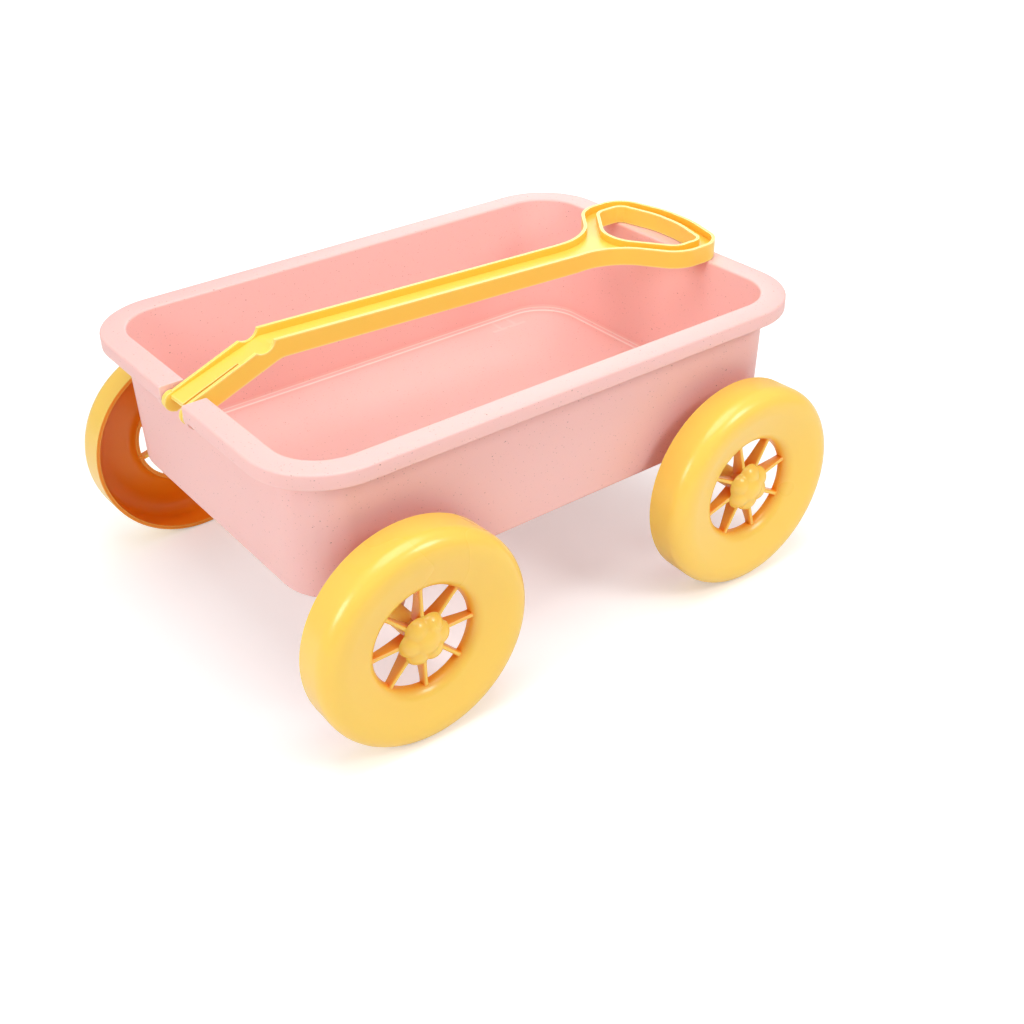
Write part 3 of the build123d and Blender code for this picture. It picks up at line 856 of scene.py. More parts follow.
# ---------------------------------------------------------------- tub
@dataclass
class Tub:
    """The moulded tub: open box, flat rim with a hanging skirt, notch, ears and axle saddles."""

    low: Vector
    high: Vector
    corner: float = 36.5
    land: float = 2.2
    skirt: float = 7.5
    skirt_wall: float = 2.0
    overhang: float = 10.4
    wall: float = 2.2
    floor: float = 1.9
    draft: float = 1.0
    bottom: float = 69.0
    floor_corner: float = 28.0
    notch_half: float = 11.2
    notch_depth: float = 10.6
    ear: float = 3.6
    pivot_back: float = 4.6
    pivot_drop: float = 7.0
    trunnion_hole: float = 2.4
    axles: tuple[float, float] = (101.0, -97.0)
    axle_z: float = 54.0
    saddle_ribs: tuple[float, float] = (93.0, 80.5)
    rib: float = 2.5
    rib_round: float = 6.2
    rib_foot: float = 12.0
    saddle_bore: float = 2.58
    mouth_half: float = 2.25
    saddle_web: float = 2.2
    web_rise: float = 3.1

    @property
    def length(self) -> float:
        """The rim's length."""
        return self.high.x - self.low.x

    @property
    def width(self) -> float:
        """The rim's width."""
        return self.high.y - self.low.y

    @property
    def top(self) -> float:
        """The rim's height."""
        return self.high.z

    def on_ring(self, z: float, depth: float, slack: float = 0.15) -> Callable[[Vector], bool]:
        """Makes a test for what lies on one ring of the tub.

        Args:
            z: The ring's height.
            depth: How far the ring lies inside the rim's outline.
            slack: How near counts as on it.

        Returns:
            A test on a point.
        """

        def test(point: Vector) -> bool:
            """Says whether a point lies on the ring."""
            found = ring_depth(point, self.length, self.width, self.corner)
            return abs(point.z - z) < NEAR and abs(found - depth) < slack

        return test

    def widen_corners(self, piece: Workpiece, z: float, depth: float, corner: float) -> None:
        """Gives the ring at one height a larger corner radius.

        Args:
            piece: The tub.
            z: The ring's height.
            depth: How far the ring lies inside the rim's outline.
            corner: The new corner radius.
        """
        old = self.corner - depth
        for vert in piece.obj.data.vertices:
            if abs(vert.co.z - z) > NEAR:
                continue
            sign = Vector((math.copysign(1, vert.co.x), math.copysign(1, vert.co.y)))
            centre = Vector((self.length / 2 - self.corner, self.width / 2 - self.corner))
            arm = Vector((abs(vert.co.x), abs(vert.co.y))) - centre
            if min(arm) < -1.0:
                continue
            arm = Vector((max(arm.x, 0.0), max(arm.y, 0.0)))
            new_centre = centre - Vector((corner - old, corner - old))
            place = new_centre + arm.normalized() * corner
            vert.co.x, vert.co.y = place.x * sign.x, place.y * sign.y

    def shell(self) -> Workpiece:
        """Models the box with its rim from one rounded face.

        Returns:
            The shell, not yet softened.
        """
        half_x, half_y = self.length / 2, self.width / 2
        corners = [(half_x, -half_y), (half_x, half_y), (-half_x, half_y), (-half_x, -half_y)]
        skirt_z = self.top - self.skirt
        piece = Workpiece.panel("tub_moulding", corners, skirt_z, [self.corner] * 4)
        inner = self.overhang + self.wall
        piece.edit(Select.FACES)
        piece.pick(lambda f: True)
        bpy.ops.mesh.extrude_region_move(TRANSFORM_OT_translate={"value": (0, 0, self.skirt)})
        bpy.ops.mesh.inset(thickness=inner)
        bpy.ops.mesh.inset(thickness=self.draft, depth=-(self.top - self.bottom - self.floor))
        piece.pick(lambda f: f.normal.z < -0.9 and abs(f.calc_center_median().z - skirt_z) < NEAR)
        bpy.ops.mesh.inset(thickness=self.skirt_wall)
        bpy.ops.mesh.extrude_region_move(TRANSFORM_OT_translate={"value": (0, 0, self.skirt - self.land)})
        bpy.ops.mesh.inset(thickness=self.overhang - self.skirt_wall)
        bpy.ops.mesh.inset(thickness=self.draft, depth=self.top - self.land - self.bottom)
        piece.done()
        self.widen_corners(piece, self.bottom, self.overhang + self.draft, self.floor_corner)
        self.widen_corners(piece, self.bottom + self.floor, inner + self.draft, self.floor_corner - self.wall)
        return piece

    def round_edges(self, piece: Workpiece) -> None:
        """Rounds the long moulded edges, each to its own radius.

        Args:
            piece: The tub.
        """
        inner = self.overhang + self.wall
        skirt_z = self.top - self.skirt
        for ring, radius, strips in (
            (self.on_ring(self.top, 0), 1.1, 4),
            (self.on_ring(self.top, inner), 1.1, 4),
            (self.on_ring(skirt_z, 0), 0.6, 3),
            (self.on_ring(skirt_z, self.skirt_wall), 0.5, 2),
            (self.on_ring(self.bottom + self.floor, inner + self.draft, 3.0), 2.4, 5),
            (self.on_ring(self.bottom, self.overhang + self.draft, 3.0), 3.0, 6),
        ):
            piece.bevel_edges(ring, radius, strips)

    def cut_notch(self, piece: Workpiece) -> None:
        """Cuts the handle's notch into the front rim and adds an ear on each side of it.

        Args:
            piece: The tub.
        """
        pivot_x, pivot_z = self.length / 2 - self.pivot_back, self.top - self.pivot_drop
        wall_x = self.length / 2 - self.overhang - self.wall / 2
        for side in Side:
            near, far = side.span(self.notch_half, self.notch_half + self.ear)
            front_top = (self.length / 2 - 1.0, far, self.top - self.land / 2)
            block = Workpiece.cube("ear", (wall_x, near, pivot_z), front_top)
            web = Workpiece.cube("web", (wall_x, near, pivot_z - 2.3), (pivot_x, far, pivot_z + 1.0))
            eye = Workpiece.rod("eye", self.pivot_back, near, far, pivot_x, pivot_z)
            block.combine(web, Join.ADD)
            block.combine(eye, Join.ADD)
            piece.combine(block, Join.ADD)
            low, high = side.span(self.notch_half - 1, self.notch_half + self.ear + 0.01)
            piece.combine(Workpiece.rod("hole", self.trunnion_hole, low, high, pivot_x, pivot_z), Join.CUT)
        back_x = self.length / 2 - self.overhang - 2 * self.wall - 1.1
        low = (back_x, -self.notch_half, self.top - self.notch_depth)
        piece.combine(Workpiece.cube("notch", low, (self.length / 2 + 1, self.notch_half, self.top + 5)), Join.CUT)

    def saddle(self, axle_x: float, side: Side) -> Workpiece:
        """Models one snap-in axle saddle: two ribs round the axle and two webs between them.

        Args:
            axle_x: The axle's place along X.
            side: Which side of the wagon.

        Returns:
            The saddle.
        """
        top_z = self.bottom + self.floor / 2
        outer, inner = self.saddle_ribs
        ribs = []
        for face in (outer, inner):
            near, far = side.span(face - self.rib, face)
            rib = Workpiece.rod("rib", self.rib_round, near, far, axle_x, self.axle_z, 32)
            rib.edit(Select.FACES)
            rib.pick(lambda f: f.normal.z > 0.05)
            bpy.ops.mesh.extrude_region_move(TRANSFORM_OT_translate={"value": (0, 0, 12)})
            rib.done()
            for vert in rib.obj.data.vertices:
                if vert.co.z > self.axle_z + 9:
                    share = (vert.co.x - axle_x) / self.rib_round
                    vert.co.z = top_z
                    vert.co.x = axle_x + share * self.rib_foot
            bore = Workpiece.rod("bore", self.saddle_bore, near - 1, far + 1, axle_x, self.axle_z, 32)
            rib.combine(bore, Join.CUT)
            mouth_low = (axle_x - self.mouth_half, near - 1, 40)
            mouth = Workpiece.cube("mouth", mouth_low, (axle_x + self.mouth_half, far + 1, self.axle_z))
            rib.combine(mouth, Join.CUT)
            ribs.append(rib)
        near, far = side.span(inner - self.rib / 2, outer - self.rib / 2)
        webs = [
            Workpiece.cube("web", (x, near, self.axle_z + self.web_rise), (x + self.saddle_web, far, top_z))
            for x in (axle_x - self.rib_round, axle_x + self.rib_round - self.saddle_web)
        ]
        ribs[0].swallow([ribs[1], *webs])
        return ribs[0]

    def build(self, finish: bpy.types.Material) -> Workpiece:
        """Models the whole tub.

        Args:
            finish: Its material.

        Returns:
            The finished tub.
        """
        piece = self.shell()
        self.round_edges(piece)
        self.cut_notch(piece)
        piece.soften(0.35)
        saddles = [self.saddle(x, side) for x in self.axles for side in Side]
        for saddle in saddles:
            saddle.soften(0.3, 1)
        piece.swallow(saddles)
        piece.finish("wagon", "tub", "tub_plastic", finish)
        return piece


# ---------------------------------------------------------------- handle
@dataclass
class Handle:
    """The one-piece handle: H-section bar, triangular loop grip, kink and forked snap-in end."""

    pivot: Point = (145.4, 133.0)
    wall: float = 1.8
    bar_depth: float = 9.2
    link_depth: float = 9.6
    link_slope: float = math.tan(math.radians(21.2))
    kink_x: float = 100.5
    neck_x: float = -75.0
    bar_half: float = 9.6
    link_half: float = 8.9
    web_drop: float = 3.8
    web_tip_drop: float = 1.0
    web: float = 1.8
    web_past_pivot: float = 2.2
    grip_floor: float = 140.3
    kink_blend: float = 1.1
    kink_steps: tuple[float, ...] = (-4, -2.6, -1.3, 0, 1.3, 2.6, 4)
    link_stations: tuple[float, ...] = (110.0, 116.5, 134.0)
    ring: float = 10.0
    loop: tuple[Point, ...] = ((-102.0, 0.0), (-124.0, 31.2), (-139.5, 31.2), (-145.0, 9.0))
    loop_rounds: tuple[float, ...] = (20.0, 7.0, 5.0, 40.0)
    neck_round: float = 30.0
    notch: tuple[float, float, float] = (6.3, 1.3, 6.3)
    slit: float = 1.7
    slit_end: float = 118.5
    slit_drop: float = 0.05
    trunnion: float = 2.3
    trunnion_end: float = 16.0
    collar_end: float = 10.6

    @property
    def lean(self) -> float:
        """How much longer the link's cut is upright than square to it."""
        return math.hypot(1.0, self.link_slope)

    @property
    def grip_top(self) -> float:
        """Height of the grip's upper edge."""
        return self.grip_floor + self.bar_depth

    @property
    def kink_top(self) -> float:
        """Height of the upper edge at the kink."""
        return self.pivot[1] + (self.pivot[0] - self.kink_x) * self.link_slope + self.link_depth / 2 * self.lean

    def top_at(self, x: float) -> float:
        """Gives the upper edge's height.

        Args:
            x: The place along X.

        Returns:
            The height there.
        """
        if x >= self.kink_x:
            return self.kink_top - (x - self.kink_x) * self.link_slope
        share = min(1.0, (self.kink_x - x) / (self.kink_x - self.neck_x))
        return self.kink_top + share * (self.grip_top - self.kink_top)

    def bottom_at(self, x: float) -> float:
        """Gives the lower edge's height, with the kink rounded underneath.

        Args:
            x: The place along X.

        Returns:
            The height there.
        """
        bar_slope = (self.kink_top - self.grip_top) / (self.kink_x - self.neck_x)
        on_bar = self.kink_top - (self.kink_x - x) * bar_slope - self.bar_depth
        on_bar = max(on_bar, self.grip_top - self.bar_depth)
        on_link = self.kink_top - (x - self.kink_x) * self.link_slope - self.link_depth * self.lean
        gap = abs(on_bar - on_link)
        return min(on_bar, on_link) - max(0.0, self.kink_blend - gap) ** 2 / (4 * self.kink_blend)

    def web_top_at(self, x: float) -> float:
        """Gives the web's upper face, which comes up to the flanges' edges at the tip."""
        past = min(1.0, max(0.0, (x - self.kink_x) / (self.pivot[0] + self.web_past_pivot - self.kink_x)))
        return self.top_at(x) - self.web_drop - past * (self.web_tip_drop - self.web_drop)

    def bend(self, piece: Workpiece, lower: Callable[[float], float], upper: Callable[[float], float]) -> None:
        """Bends a straight piece drawn from height 0 to 1 between two lines seen from the side.

        Args:
            piece: The straight piece.
            lower: The line that height 0 follows.
            upper: The line that height 1 follows.
        """
        for x in (self.neck_x, *(self.kink_x + step for step in self.kink_steps), *self.link_stations):
            piece.bisect(x)
        for vert in piece.obj.data.vertices:
            low, high = lower(vert.co.x), upper(vert.co.x)
            vert.co.z = low + (high - low) * vert.co.z

    def loop_outline(self, spread: float) -> tuple[list[Point], list[float]]:
        """Gives the grip's hole pushed outward.

        Args:
            spread: How far its sides are pushed.

        Returns:
            The corners, and one radius for each.
        """
        rounds = [r + spread for r in self.loop_rounds]
        return pushed(mirrored(self.loop), spread), [rounds[0], *rounds[1:], *reversed(rounds[1:])]

    def plan(self, inset: float, front: float) -> Workpiece:
        """Draws the handle from above, smaller by inset, without its hole.

        Args:
            inset: How far inside the real outline it is drawn.
            front: Where it ends at the front.

        Returns:
            One flat face at height nought.
        """
        outer, rounds = self.loop_outline(self.ring)
        apex, side = Vector(outer[0]), Vector(outer[1])
        neck = apex + (side - apex) * (self.bar_half / side.y)
        taper = (self.bar_half - self.link_half) / (self.pivot[0] - neck.x)
        front_half = self.link_half - taper * (front - self.pivot[0])
        corners = pushed(mirrored([(front, front_half), tuple(neck), *outer[1:4]]), -inset)
        upper = [0.0, self.neck_round + inset, *(r - inset for r in rounds[1:4])]
        corners = [(min(x, front), y) for x, y in corners]
        return Workpiece.panel("plan", corners, 0.0, [*upper, *reversed(upper)])

    def flanges(self) -> Workpiece:
        """Models the upright walls round the bar and on both sides of the grip.

        Returns:
            The walls with their round prong tips.
        """
        tip_x = self.pivot[0]
        outer = self.plan(0.0, tip_x)
        outer.raise_by(1)
        channel = self.plan(self.wall, tip_x + 10)
        channel.raise_by(1)
        corners, rounds = self.loop_outline(self.wall)
        keep = Workpiece.panel("keep", corners, -1.0, rounds)
        hole_corners, hole_rounds = self.loop_outline(0.0)
        hole = Workpiece.panel("hole", hole_corners, -1.0, hole_rounds)
        keep.raise_by(3)
        hole.raise_by(3)
        channel.move(Matrix.Translation((0, 0, -0.5)) @ Matrix.Diagonal((1, 1, 2, 1)))
        channel.combine(keep, Join.CUT)
        outer.combine(channel, Join.CUT)
        outer.combine(hole, Join.CUT)
        self.bend(outer, self.bottom_at, self.top_at)
        for side in Side:
            near, far = side.span(self.link_half - self.wall, self.link_half)
            outer.combine(Workpiece.rod("tip", self.link_depth / 2, near, far, *self.pivot), Join.ADD)
            for radius, end in ((self.link_depth / 2 - 0.2, self.collar_end), (self.trunnion, self.trunnion_end)):
                near, far = side.span(self.link_half - self.wall / 2, end)
                outer.combine(Workpiece.rod("pin", radius, near, far, *self.pivot), Join.ADD)
        return outer

    def plate(self) -> Workpiece:
        """Models the web between the flanges, with the slit beside the left prong.

        Returns:
            The web.
        """
        plate = self.plan(self.wall / 2, self.pivot[0] + self.web_past_pivot)
        plate.raise_by(1)
        corners, rounds = self.loop_outline(self.wall / 2)
        hole = Workpiece.panel("hole", corners, -1.0, rounds)
        hole.raise_by(3)
        plate.combine(hole, Join.CUT)
        self.bend(plate, lambda x: self.web_top_at(x) - self.web, self.web_top_at)
        for vert in plate.obj.data.vertices:
            if vert.co.y > 0 and vert.co.x > self.kink_x:
                share = min(1.0, (vert.co.x - self.kink_x) / (self.slit_end - 2 - self.kink_x))
                vert.co.z += share * (self.top_at(vert.co.x) - self.web_top_at(vert.co.x) - self.slit_drop)
        high = self.link_half - self.wall
        slit = Workpiece.cube("slit", (self.slit_end, high - self.slit, 120), (160, high, 165))
        plate.combine(slit, Join.CUT)
        return plate

    def build(self, finish: bpy.types.Material) -> Workpiece:
        """Models the whole handle.

        Args:
            finish: Its material.

        Returns:
            The finished handle.
        """
        piece = self.flanges()
        piece.combine(self.plate(), Join.ADD)
        ahead, above, radius = self.notch
        scoop = Workpiece.rod("scoop", radius, -20, 20, self.kink_x + ahead, self.kink_top + above)
        piece.combine(scoop, Join.CUT)
        piece.rename("pull_handle")
        piece.soften(0.4)
        piece.finish("handle", "handle", "handle_plastic", finish)
        return piece


# ---------------------------------------------------------------- wheels
@dataclass
class Wheel:
    """A hollow moulded wheel with blade spokes, modelled once about Z with its face up and copied to each corner."""

    radius: float = 54.0
    back_radius: float = 53.7
    thickness: float = 21.0
    shell: float = 2.0
    shoulder: float = 8.0
    crown: float = 43.0
    crown_round: float = 16.0
    hole: float = 25.5
    dish: float = 5.0
    lip_round: float = 7.2
    lip_end: float = 10.5
    spokes: int = 8
    spoke_width: float = 2.1
    spoke_front: float = 14.0
    spoke_depths: tuple[float, float] = (8.0, 4.0)
    hub_front: float = 10.5
    barrel: float = 5.2
    cone: float = 8.8
    hub_back: float = -10.4
    bore: float = 2.56
    counterbore: float = 6.5
    counterbore_depth: float = 4.0
    steps: int = 96

    def spin(self, name: str, profile: Sequence[Point], closed: bool) -> Workpiece:
        """Draws a profile point by point and spins it about Z.

        Args:
            name: The piece's name.
            profile: Points as radius and height.
            closed: Whether the last point joins the first.

        Returns:
            The spun surface.
        """
        deselect_all()
        bpy.ops.mesh.primitive_plane_add(size=0.1, location=(0, 0, 0))
        piece = Workpiece(name, bpy.context.object)
        piece.edit(Select.VERTS)
        bpy.ops.mesh.select_all(action="SELECT")
        bpy.ops.mesh.merge(type="CENTER")
        bpy.ops.transform.translate(value=(profile[0][0], 0, profile[0][1]))
        for before, after in zip(profile, profile[1:]):
            step = (after[0] - before[0], 0, after[1] - before[1])
            bpy.ops.mesh.extrude_region_move(TRANSFORM_OT_translate={"value": step})
        if closed:
            ends = (Vector((profile[0][0], 0, profile[0][1])), Vector((profile[-1][0], 0, profile[-1][1])))
            piece.pick(lambda v: min((v.co - end).length for end in ends) < NEAR / 10)
            bpy.ops.mesh.edge_face_add()
        bpy.ops.mesh.select_all(action="SELECT")
        bpy.ops.mesh.spin(steps=self.steps, angle=2 * math.pi, center=(0, 0, 0), axis=(0, 0, 1))
        piece.done()
        piece.clean()
        return piece

    @staticmethod
    def rounded(points: Sequence[Point], radii: Sequence[float], flats: int = 10) -> list[Point]:
        """Rounds the inner corners of an open profile.

        Args:
            points: The sharp profile.
            radii: One radius for each inner corner, nought for a sharp one.
            flats: How many steps each round takes.

        Returns:
            The rounded profile.
        """
        made = [points[0]]
        for before, corner, after, radius in zip(points, points[1:], points[2:], radii):
            here = Vector(corner)
            way_in, way_out = (Vector(before) - here).normalized(), (Vector(after) - here).normalized()
            if radius == 0:
                made.append(corner)
                continue
            half = way_in.angle(way_out) / 2
            centre = here + (way_in + way_out).normalized() * (radius / math.sin(half))
            start = here + way_in * (radius / math.tan(half)) - centre
            end = here + way_out * (radius / math.tan(half)) - centre
            sweep = math.atan2(start.x * end.y - start.y * end.x, start.dot(end))
            for step in range(flats + 1):
                turn = sweep * step / flats
                c, s = math.cos(turn), math.sin(turn)
                made.append((centre.x + c * start.x - s * start.y, centre.y + s * start.x + c * start.y))
        made.append(points[-1])
        return made

    def tyre(self) -> Workpiece:
        """Models the hollow tyre.

        Returns:
            The tread, shoulder, dished face and lip as one shell.
        """
        sharp = [
            (self.back_radius, 0.0),
            (self.radius, self.thickness - self.shoulder - 0.5),
            (self.radius, self.thickness),
            (self.crown, self.thickness),
            (self.hole, self.thickness - self.dish),
            (self.hole, self.lip_end),
        ]
        profile = self.rounded(sharp, [0, self.shoulder, self.crown_round, self.lip_round])
        piece = self.spin("tyre", profile, False)
        piece.apply("SOLIDIFY", thickness=self.shell, offset=-1.0, use_even_offset=True)
        return piece

    def hub(self) -> Workpiece:
        """Models the conical hub.

        Returns:
            The hub with its barrel, bore and counterbore.
        """
        floor = self.spoke_front - self.counterbore_depth
        profile = [
            (self.bore, self.hub_back),
            (self.barrel, self.hub_back),
            (self.barrel, self.spoke_front - self.cone),
            (self.hub_front, self.spoke_front),
            (self.counterbore, self.spoke_front),
            (self.counterbore, floor),
            (self.bore, floor),
        ]
        return self.spin("hub", profile, True)

    def spoke(self) -> Workpiece:
        """Models one blade from a box.

        Returns:
            The blade: deeper and wider at the hub, flared again where it meets the lip.
        """
        inner, outer = self.barrel + 1.6, self.hole + self.shell * 0.8
        at_hub, at_lip = self.spoke_depths
        half = self.spoke_width / 2
        piece = Workpiece.cube(
            "spoke", (inner, -half, self.spoke_front - at_hub), (outer, half, self.spoke_front)
        )
        for x in (self.hub_front + 1.5, self.hub_front + 4, (inner + outer) / 2 + 2, self.hole - 3, self.hole - 1):
            piece.bisect(x)
        flare = {inner: 1.5, self.hub_front + 1.5: 1.2, self.hole - 1: 1.06, outer: 1.4}
        for vert in piece.obj.data.vertices:
            share = (vert.co.x - inner) / (outer - inner)
            if vert.co.z < self.spoke_front - NEAR:
                vert.co.z = self.spoke_front - (at_hub + (at_lip - at_hub) * share)
            for place, factor in flare.items():
                if abs(vert.co.x - place) < NEAR:
                    vert.co.y *= factor
        piece.bevel_edges(lambda m: m.z > self.spoke_front - NEAR and abs(m.y) > half * 0.9, 0.95, 4)
        piece.bevel_edges(lambda m: m.z < self.spoke_front - at_lip + NEAR and abs(m.y) > half * 0.9, 0.4, 2)
        return piece

    def master(self) -> Workpiece:
        """Models one whole wheel.

        Returns:
            The wheel about Z, face up, its back edge at height nought.
        """
        wheel = self.tyre()
        hub = self.hub()
        first = self.spoke()
        blades = [first]
        for index in range(1, self.spokes):
            blade = first.copy(f"spoke_{index}")
            blade.move(Matrix.Rotation(2 * math.pi * index / self.spokes, 4, "Z"))
            blades.append(blade)
        for blade in blades:
            hub.combine(blade, Join.ADD)
        wheel.combine(hub, Join.ADD)
        wheel.rename("wheel_master")
        wheel.soften(0.3, 2, 40)
        self.mark_hollow(wheel)
        return wheel

    def mark_hollow(self, wheel: Workpiece) -> None:
        """Marks the faces inside the tyre, where the material paints shade in a deeper colour.

        Args:
            wheel: The wheel about Z, face up.
        """
        mark = wheel.obj.data.attributes.new("hollow", "FLOAT", "FACE")
        for face in wheel.obj.data.polygons:
            flat = Vector((face.center.x, face.center.y))
            reach, outward = flat.length, face.normal.xy.dot(flat.normalized())
            tread = reach > self.crown and outward < 0 and face.center.z < self.thickness - 1
            ceiling = face.normal.z < -0.3 and self.hole < reach < self.back_radius - 1
            lip = self.hole + 1 < reach < self.hole + self.lip_round + 2 and outward > 0.3 and face.normal.z < 0.2
            mark.data[face.index].value = float(tread or ceiling or lip)


@dataclass
class FlowerCap:
    """The domed cap with round petals, modelled once about Z on its flat back."""

    petals: int = 6
    petal_radius: float = 6.8
    petal_offset: float = 6.6
    petal_drop: float = 2.0
    crown_radius: float = 9.2
    crown_height: float = 6.8
    crease: float = 0.3

    def reach(self, way: Vector) -> float:
        """Says how far the cap's surface lies from its middle in one direction.

        Args:
            way: A unit direction.

        Returns:
            The distance, with the creases between petals softened.
        """
        centres = [Vector((0, 0, self.crown_height - self.crown_radius))]
        radii = [self.crown_radius]
        for index in range(self.petals):
            turn = 2 * math.pi * index / self.petals
            out = self.petal_offset
            centres.append(Vector((math.cos(turn) * out, math.sin(turn) * out, -self.petal_drop)))
            radii.append(self.petal_radius)
        reaches = []
        for centre, radius in zip(centres, radii):
            along = way.dot(centre)
            inside = along * along - centre.length_squared + radius * radius
            if inside > 0:
                reaches.append(along + math.sqrt(inside))
        return self.crease * math.log(sum(math.exp(r / self.crease) for r in reaches))

    def master(self) -> Workpiece:
        """Models one cap.

        Returns:
            The cap about Z, its flat back at height nought.
        """
        deselect_all()
        bpy.ops.mesh.primitive_uv_sphere_add(segments=120, ring_count=48, radius=1, location=(0, 0, 0))
        piece = Workpiece("cap_master", bpy.context.object)
        piece.edit(Select.VERTS)
        bpy.ops.mesh.select_all(action="SELECT")
        bpy.ops.mesh.bisect(plane_co=(0, 0, 0.0001), plane_no=(0, 0, 1), use_fill=True, clear_inner=True)
        piece.done()
        for vert in piece.obj.data.vertices:
            way = vert.co.normalized()
            vert.co = way * self.reach(way)
            if way.z < 0.001:
                vert.co.z = 0
        piece.soften(0.25, 2, 60)
        return piece


@dataclass
class Corner:
    """One corner of the wagon: where its wheel stands and how it is turned."""

    name: str
    axle_x: float
    side: Side
    phase: float
    axle_z: float = 54.0
    back_y: float = 104.0
    cap_seat: float = 14.0

    def place(self, distance: float) -> Matrix:
        """Gives the move from a piece about Z to its place on the axle.

        Args:
            distance: How far out from the wheel's back edge the piece's own floor lies.

        Returns:
            The move, mirrored on the right side.
        """
        upright = Matrix.Rotation(-math.pi / 2, 4, "X") @ Matrix.Rotation(-math.radians(self.phase), 4, "Z")
        out = Matrix.Translation((0, self.back_y + distance, 0)) @ upright
        across = Matrix.Diagonal((1, self.side.value, 1, 1))
        return Matrix.Translation((self.axle_x, 0, self.axle_z)) @ across @ out

    def dress(self, wheel: Workpiece, cap: Workpiece, wheel_finish: bpy.types.Material) -> None:
        """Copies the wheel and the cap to this corner.

        Args:
            wheel: The wheel's master.
            cap: The cap's master.
            wheel_finish: The material of both.
        """
        own_wheel = wheel.copy(f"road_wheel_{self.name}")
        own_wheel.move(self.place(0))
        own_wheel.finish(f"wheel_{self.name}", f"wheel_{self.name}", "wheel_plastic", wheel_finish)
        own_cap = cap.copy(f"flower_cap_{self.name}")
        own_cap.move(self.place(self.cap_seat))
        own_cap.finish(f"wheel_{self.name}", f"hub_cap_{self.name}", "cap_plastic", wheel_finish, 60)


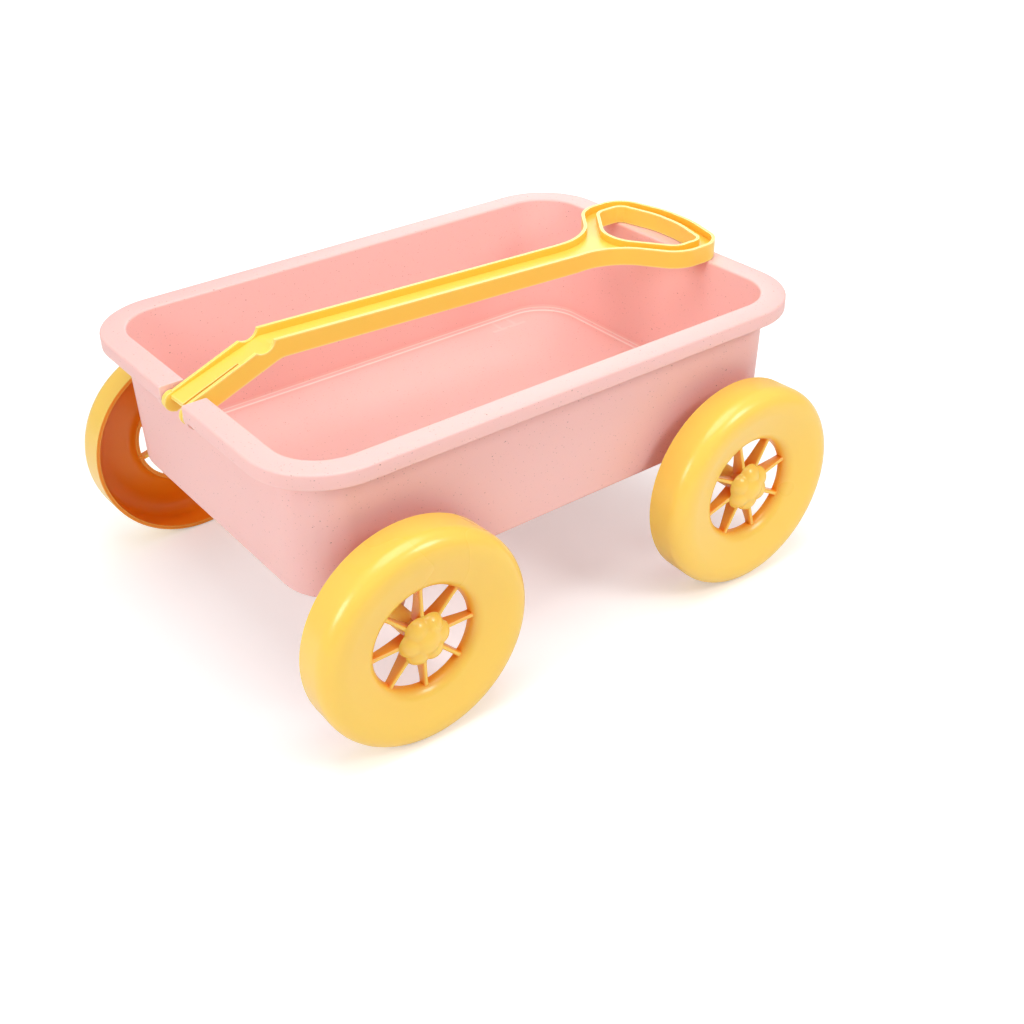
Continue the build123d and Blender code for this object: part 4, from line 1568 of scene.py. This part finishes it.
# ---------------------------------------------------------------- studio
@dataclass
class Studio:
    """A pale floor, soft light from all round and the camera."""

    eye: tuple[float, float, float] = (0.35253, 0.51673, 0.42203)
    turn: tuple[float, float, float] = (57.1190, 0.8752, 142.4424)
    lens: float = 48.267
    sensor: float = 36.0
    lamps: dict[str, tuple[tuple[float, float, float], float, float]] = field(
        default_factory=lambda: {
            "overhead": ((0.05, 0.1, 0.9), 0.7, 3.8),
            "front_left": ((0.85, 0.15, 0.5), 0.35, 2.3),
            "right_fill": ((-0.28, 0.66, 0.62), 0.3, 1.95),
            "back_fill": ((-0.6, -0.7, 0.5), 0.6, 1.6),
        }
    )

    def set_floor(self) -> None:
        """Lays the pale floor."""
        deselect_all()
        bpy.ops.mesh.primitive_plane_add(size=8, location=(0, 0, -0.0002))
        floor = bpy.context.object
        floor.name = "studio_floor"
        material = bpy.data.materials.new("pale_floor")
        material.use_nodes = True
        graph = Graph(material.node_tree)
        shader = material.node_tree.nodes["Principled BSDF"]
        shader.inputs["Base Color"].default_value = (0.9, 0.9, 0.9, 1)
        shader.inputs["Roughness"].default_value = 0.85
        shader.inputs["Emission Color"].default_value = (1, 1, 1, 1)
        seen = graph.node("ShaderNodeLightPath").outputs["Is Camera Ray"]
        place = graph.node("ShaderNodeTexCoord").outputs["Object"]
        reach = graph.node("ShaderNodeVectorMath", set_operation="LENGTH", i0=place).outputs["Value"]
        far = graph.fade(reach, 0.4, 1.3)
        bright = graph.math("ADD", graph.math("MULTIPLY", far, 0.4), 0.3)
        graph.feed(shader.inputs["Emission Strength"], graph.math("MULTIPLY", seen, bright))
        clear = graph.node("ShaderNodeBsdfTransparent").outputs[0]
        below = graph.node("ShaderNodeNewGeometry").outputs["Backfacing"]
        both = graph.node("ShaderNodeMixShader", i0=below, i1=shader.outputs[0], i2=clear)
        graph.tree.links.new(both.outputs[0], graph.tree.nodes["Material Output"].inputs["Surface"])
        floor.data.materials.append(material)

    def set_lights(self) -> None:
        """Hangs the soft lamps and lights the sky."""
        for name, (place, size, power) in self.lamps.items():
            data = bpy.data.lights.new(name, "AREA")
            data.shape = "DISK"
            data.size = size
            data.energy = power
            lamp = bpy.data.objects.new(name, data)
            lamp.location = place
            lamp.rotation_euler = (Vector((0, 0, 0.08)) - Vector(place)).to_track_quat("-Z", "Y").to_euler()
            bpy.context.scene.collection.objects.link(lamp)
        world = bpy.data.worlds.new("soft_sky")
        world.use_nodes = True
        sky = world.node_tree.nodes["Background"]
        sky.inputs["Color"].default_value = (1, 1, 1, 1)
        graph = Graph(world.node_tree)
        seen = graph.node("ShaderNodeLightPath").outputs["Is Camera Ray"]
        graph.feed(sky.inputs["Strength"], graph.math("ADD", graph.math("MULTIPLY", seen, 0.52), 0.48))
        bpy.context.scene.world = world
        bpy.context.scene.view_settings.view_transform = "Standard"

    def set_camera(self) -> None:
        """Places the camera."""
        data = bpy.data.cameras.new("studio_camera")
        data.lens = self.lens
        data.sensor_width = self.sensor
        data.clip_start = 0.01
        camera = bpy.data.objects.new("studio_camera", data)
        camera.location = self.eye
        camera.rotation_euler = [math.radians(angle) for angle in self.turn]
        bpy.context.scene.collection.objects.link(camera)
        bpy.context.scene.camera = camera


def dress_nodes(nodes: dict[str, bpy.types.Object], prefix: str, material: bpy.types.Material) -> None:
    """Gives every CAD node whose name starts with a prefix a material.

    Args:
        nodes: The CAD nodes by name.
        prefix: How their names start.
        material: The material.
    """
    for name, node in nodes.items():
        if name.startswith(prefix):
            if not node.material_slots:
                node.data.materials.append(material)
            for holder in node.material_slots:
                holder.material = material


def box_mm(node: str) -> tuple[Vector, Vector]:
    """Gives a CAD node's lowest and highest corners in millimetres."""
    low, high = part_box(node)
    return low / MM, high / MM


def main() -> None:
    """Builds the wagon and its studio."""
    logging.basicConfig(level=logging.INFO, format="%(name)s: %(message)s")
    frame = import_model()
    effects = Effects()
    pink, yellow, wheel_yellow = (finish.make(effects) for finish in (PINK, YELLOW, ORANGE_YELLOW))
    dress_nodes(frame["nodes"], "axle", AXLE_STEEL.make(effects))
    dress_nodes(frame["nodes"], "push_nut", NUT_STEEL.make(effects))
    Tub(*box_mm("tub")).build(pink)
    Handle().build(yellow)
    wheel = Wheel().master()
    cap = FlowerCap().master()
    for corner in (
        Corner("front_left", 101.0, Side.LEFT, 0.0),
        Corner("front_right", 101.0, Side.RIGHT, 30.0),
        Corner("rear_left", -97.0, Side.LEFT, 30.0),
        Corner("rear_right", -97.0, Side.RIGHT, 12.0),
    ):
        corner.dress(wheel, cap, wheel_yellow)
    for master in (wheel, cap):
        bpy.data.objects.remove(master.obj)
    studio = Studio()
    studio.set_floor()
    studio.set_lights()
    studio.set_camera()


if __name__ == "__main__":
    main()
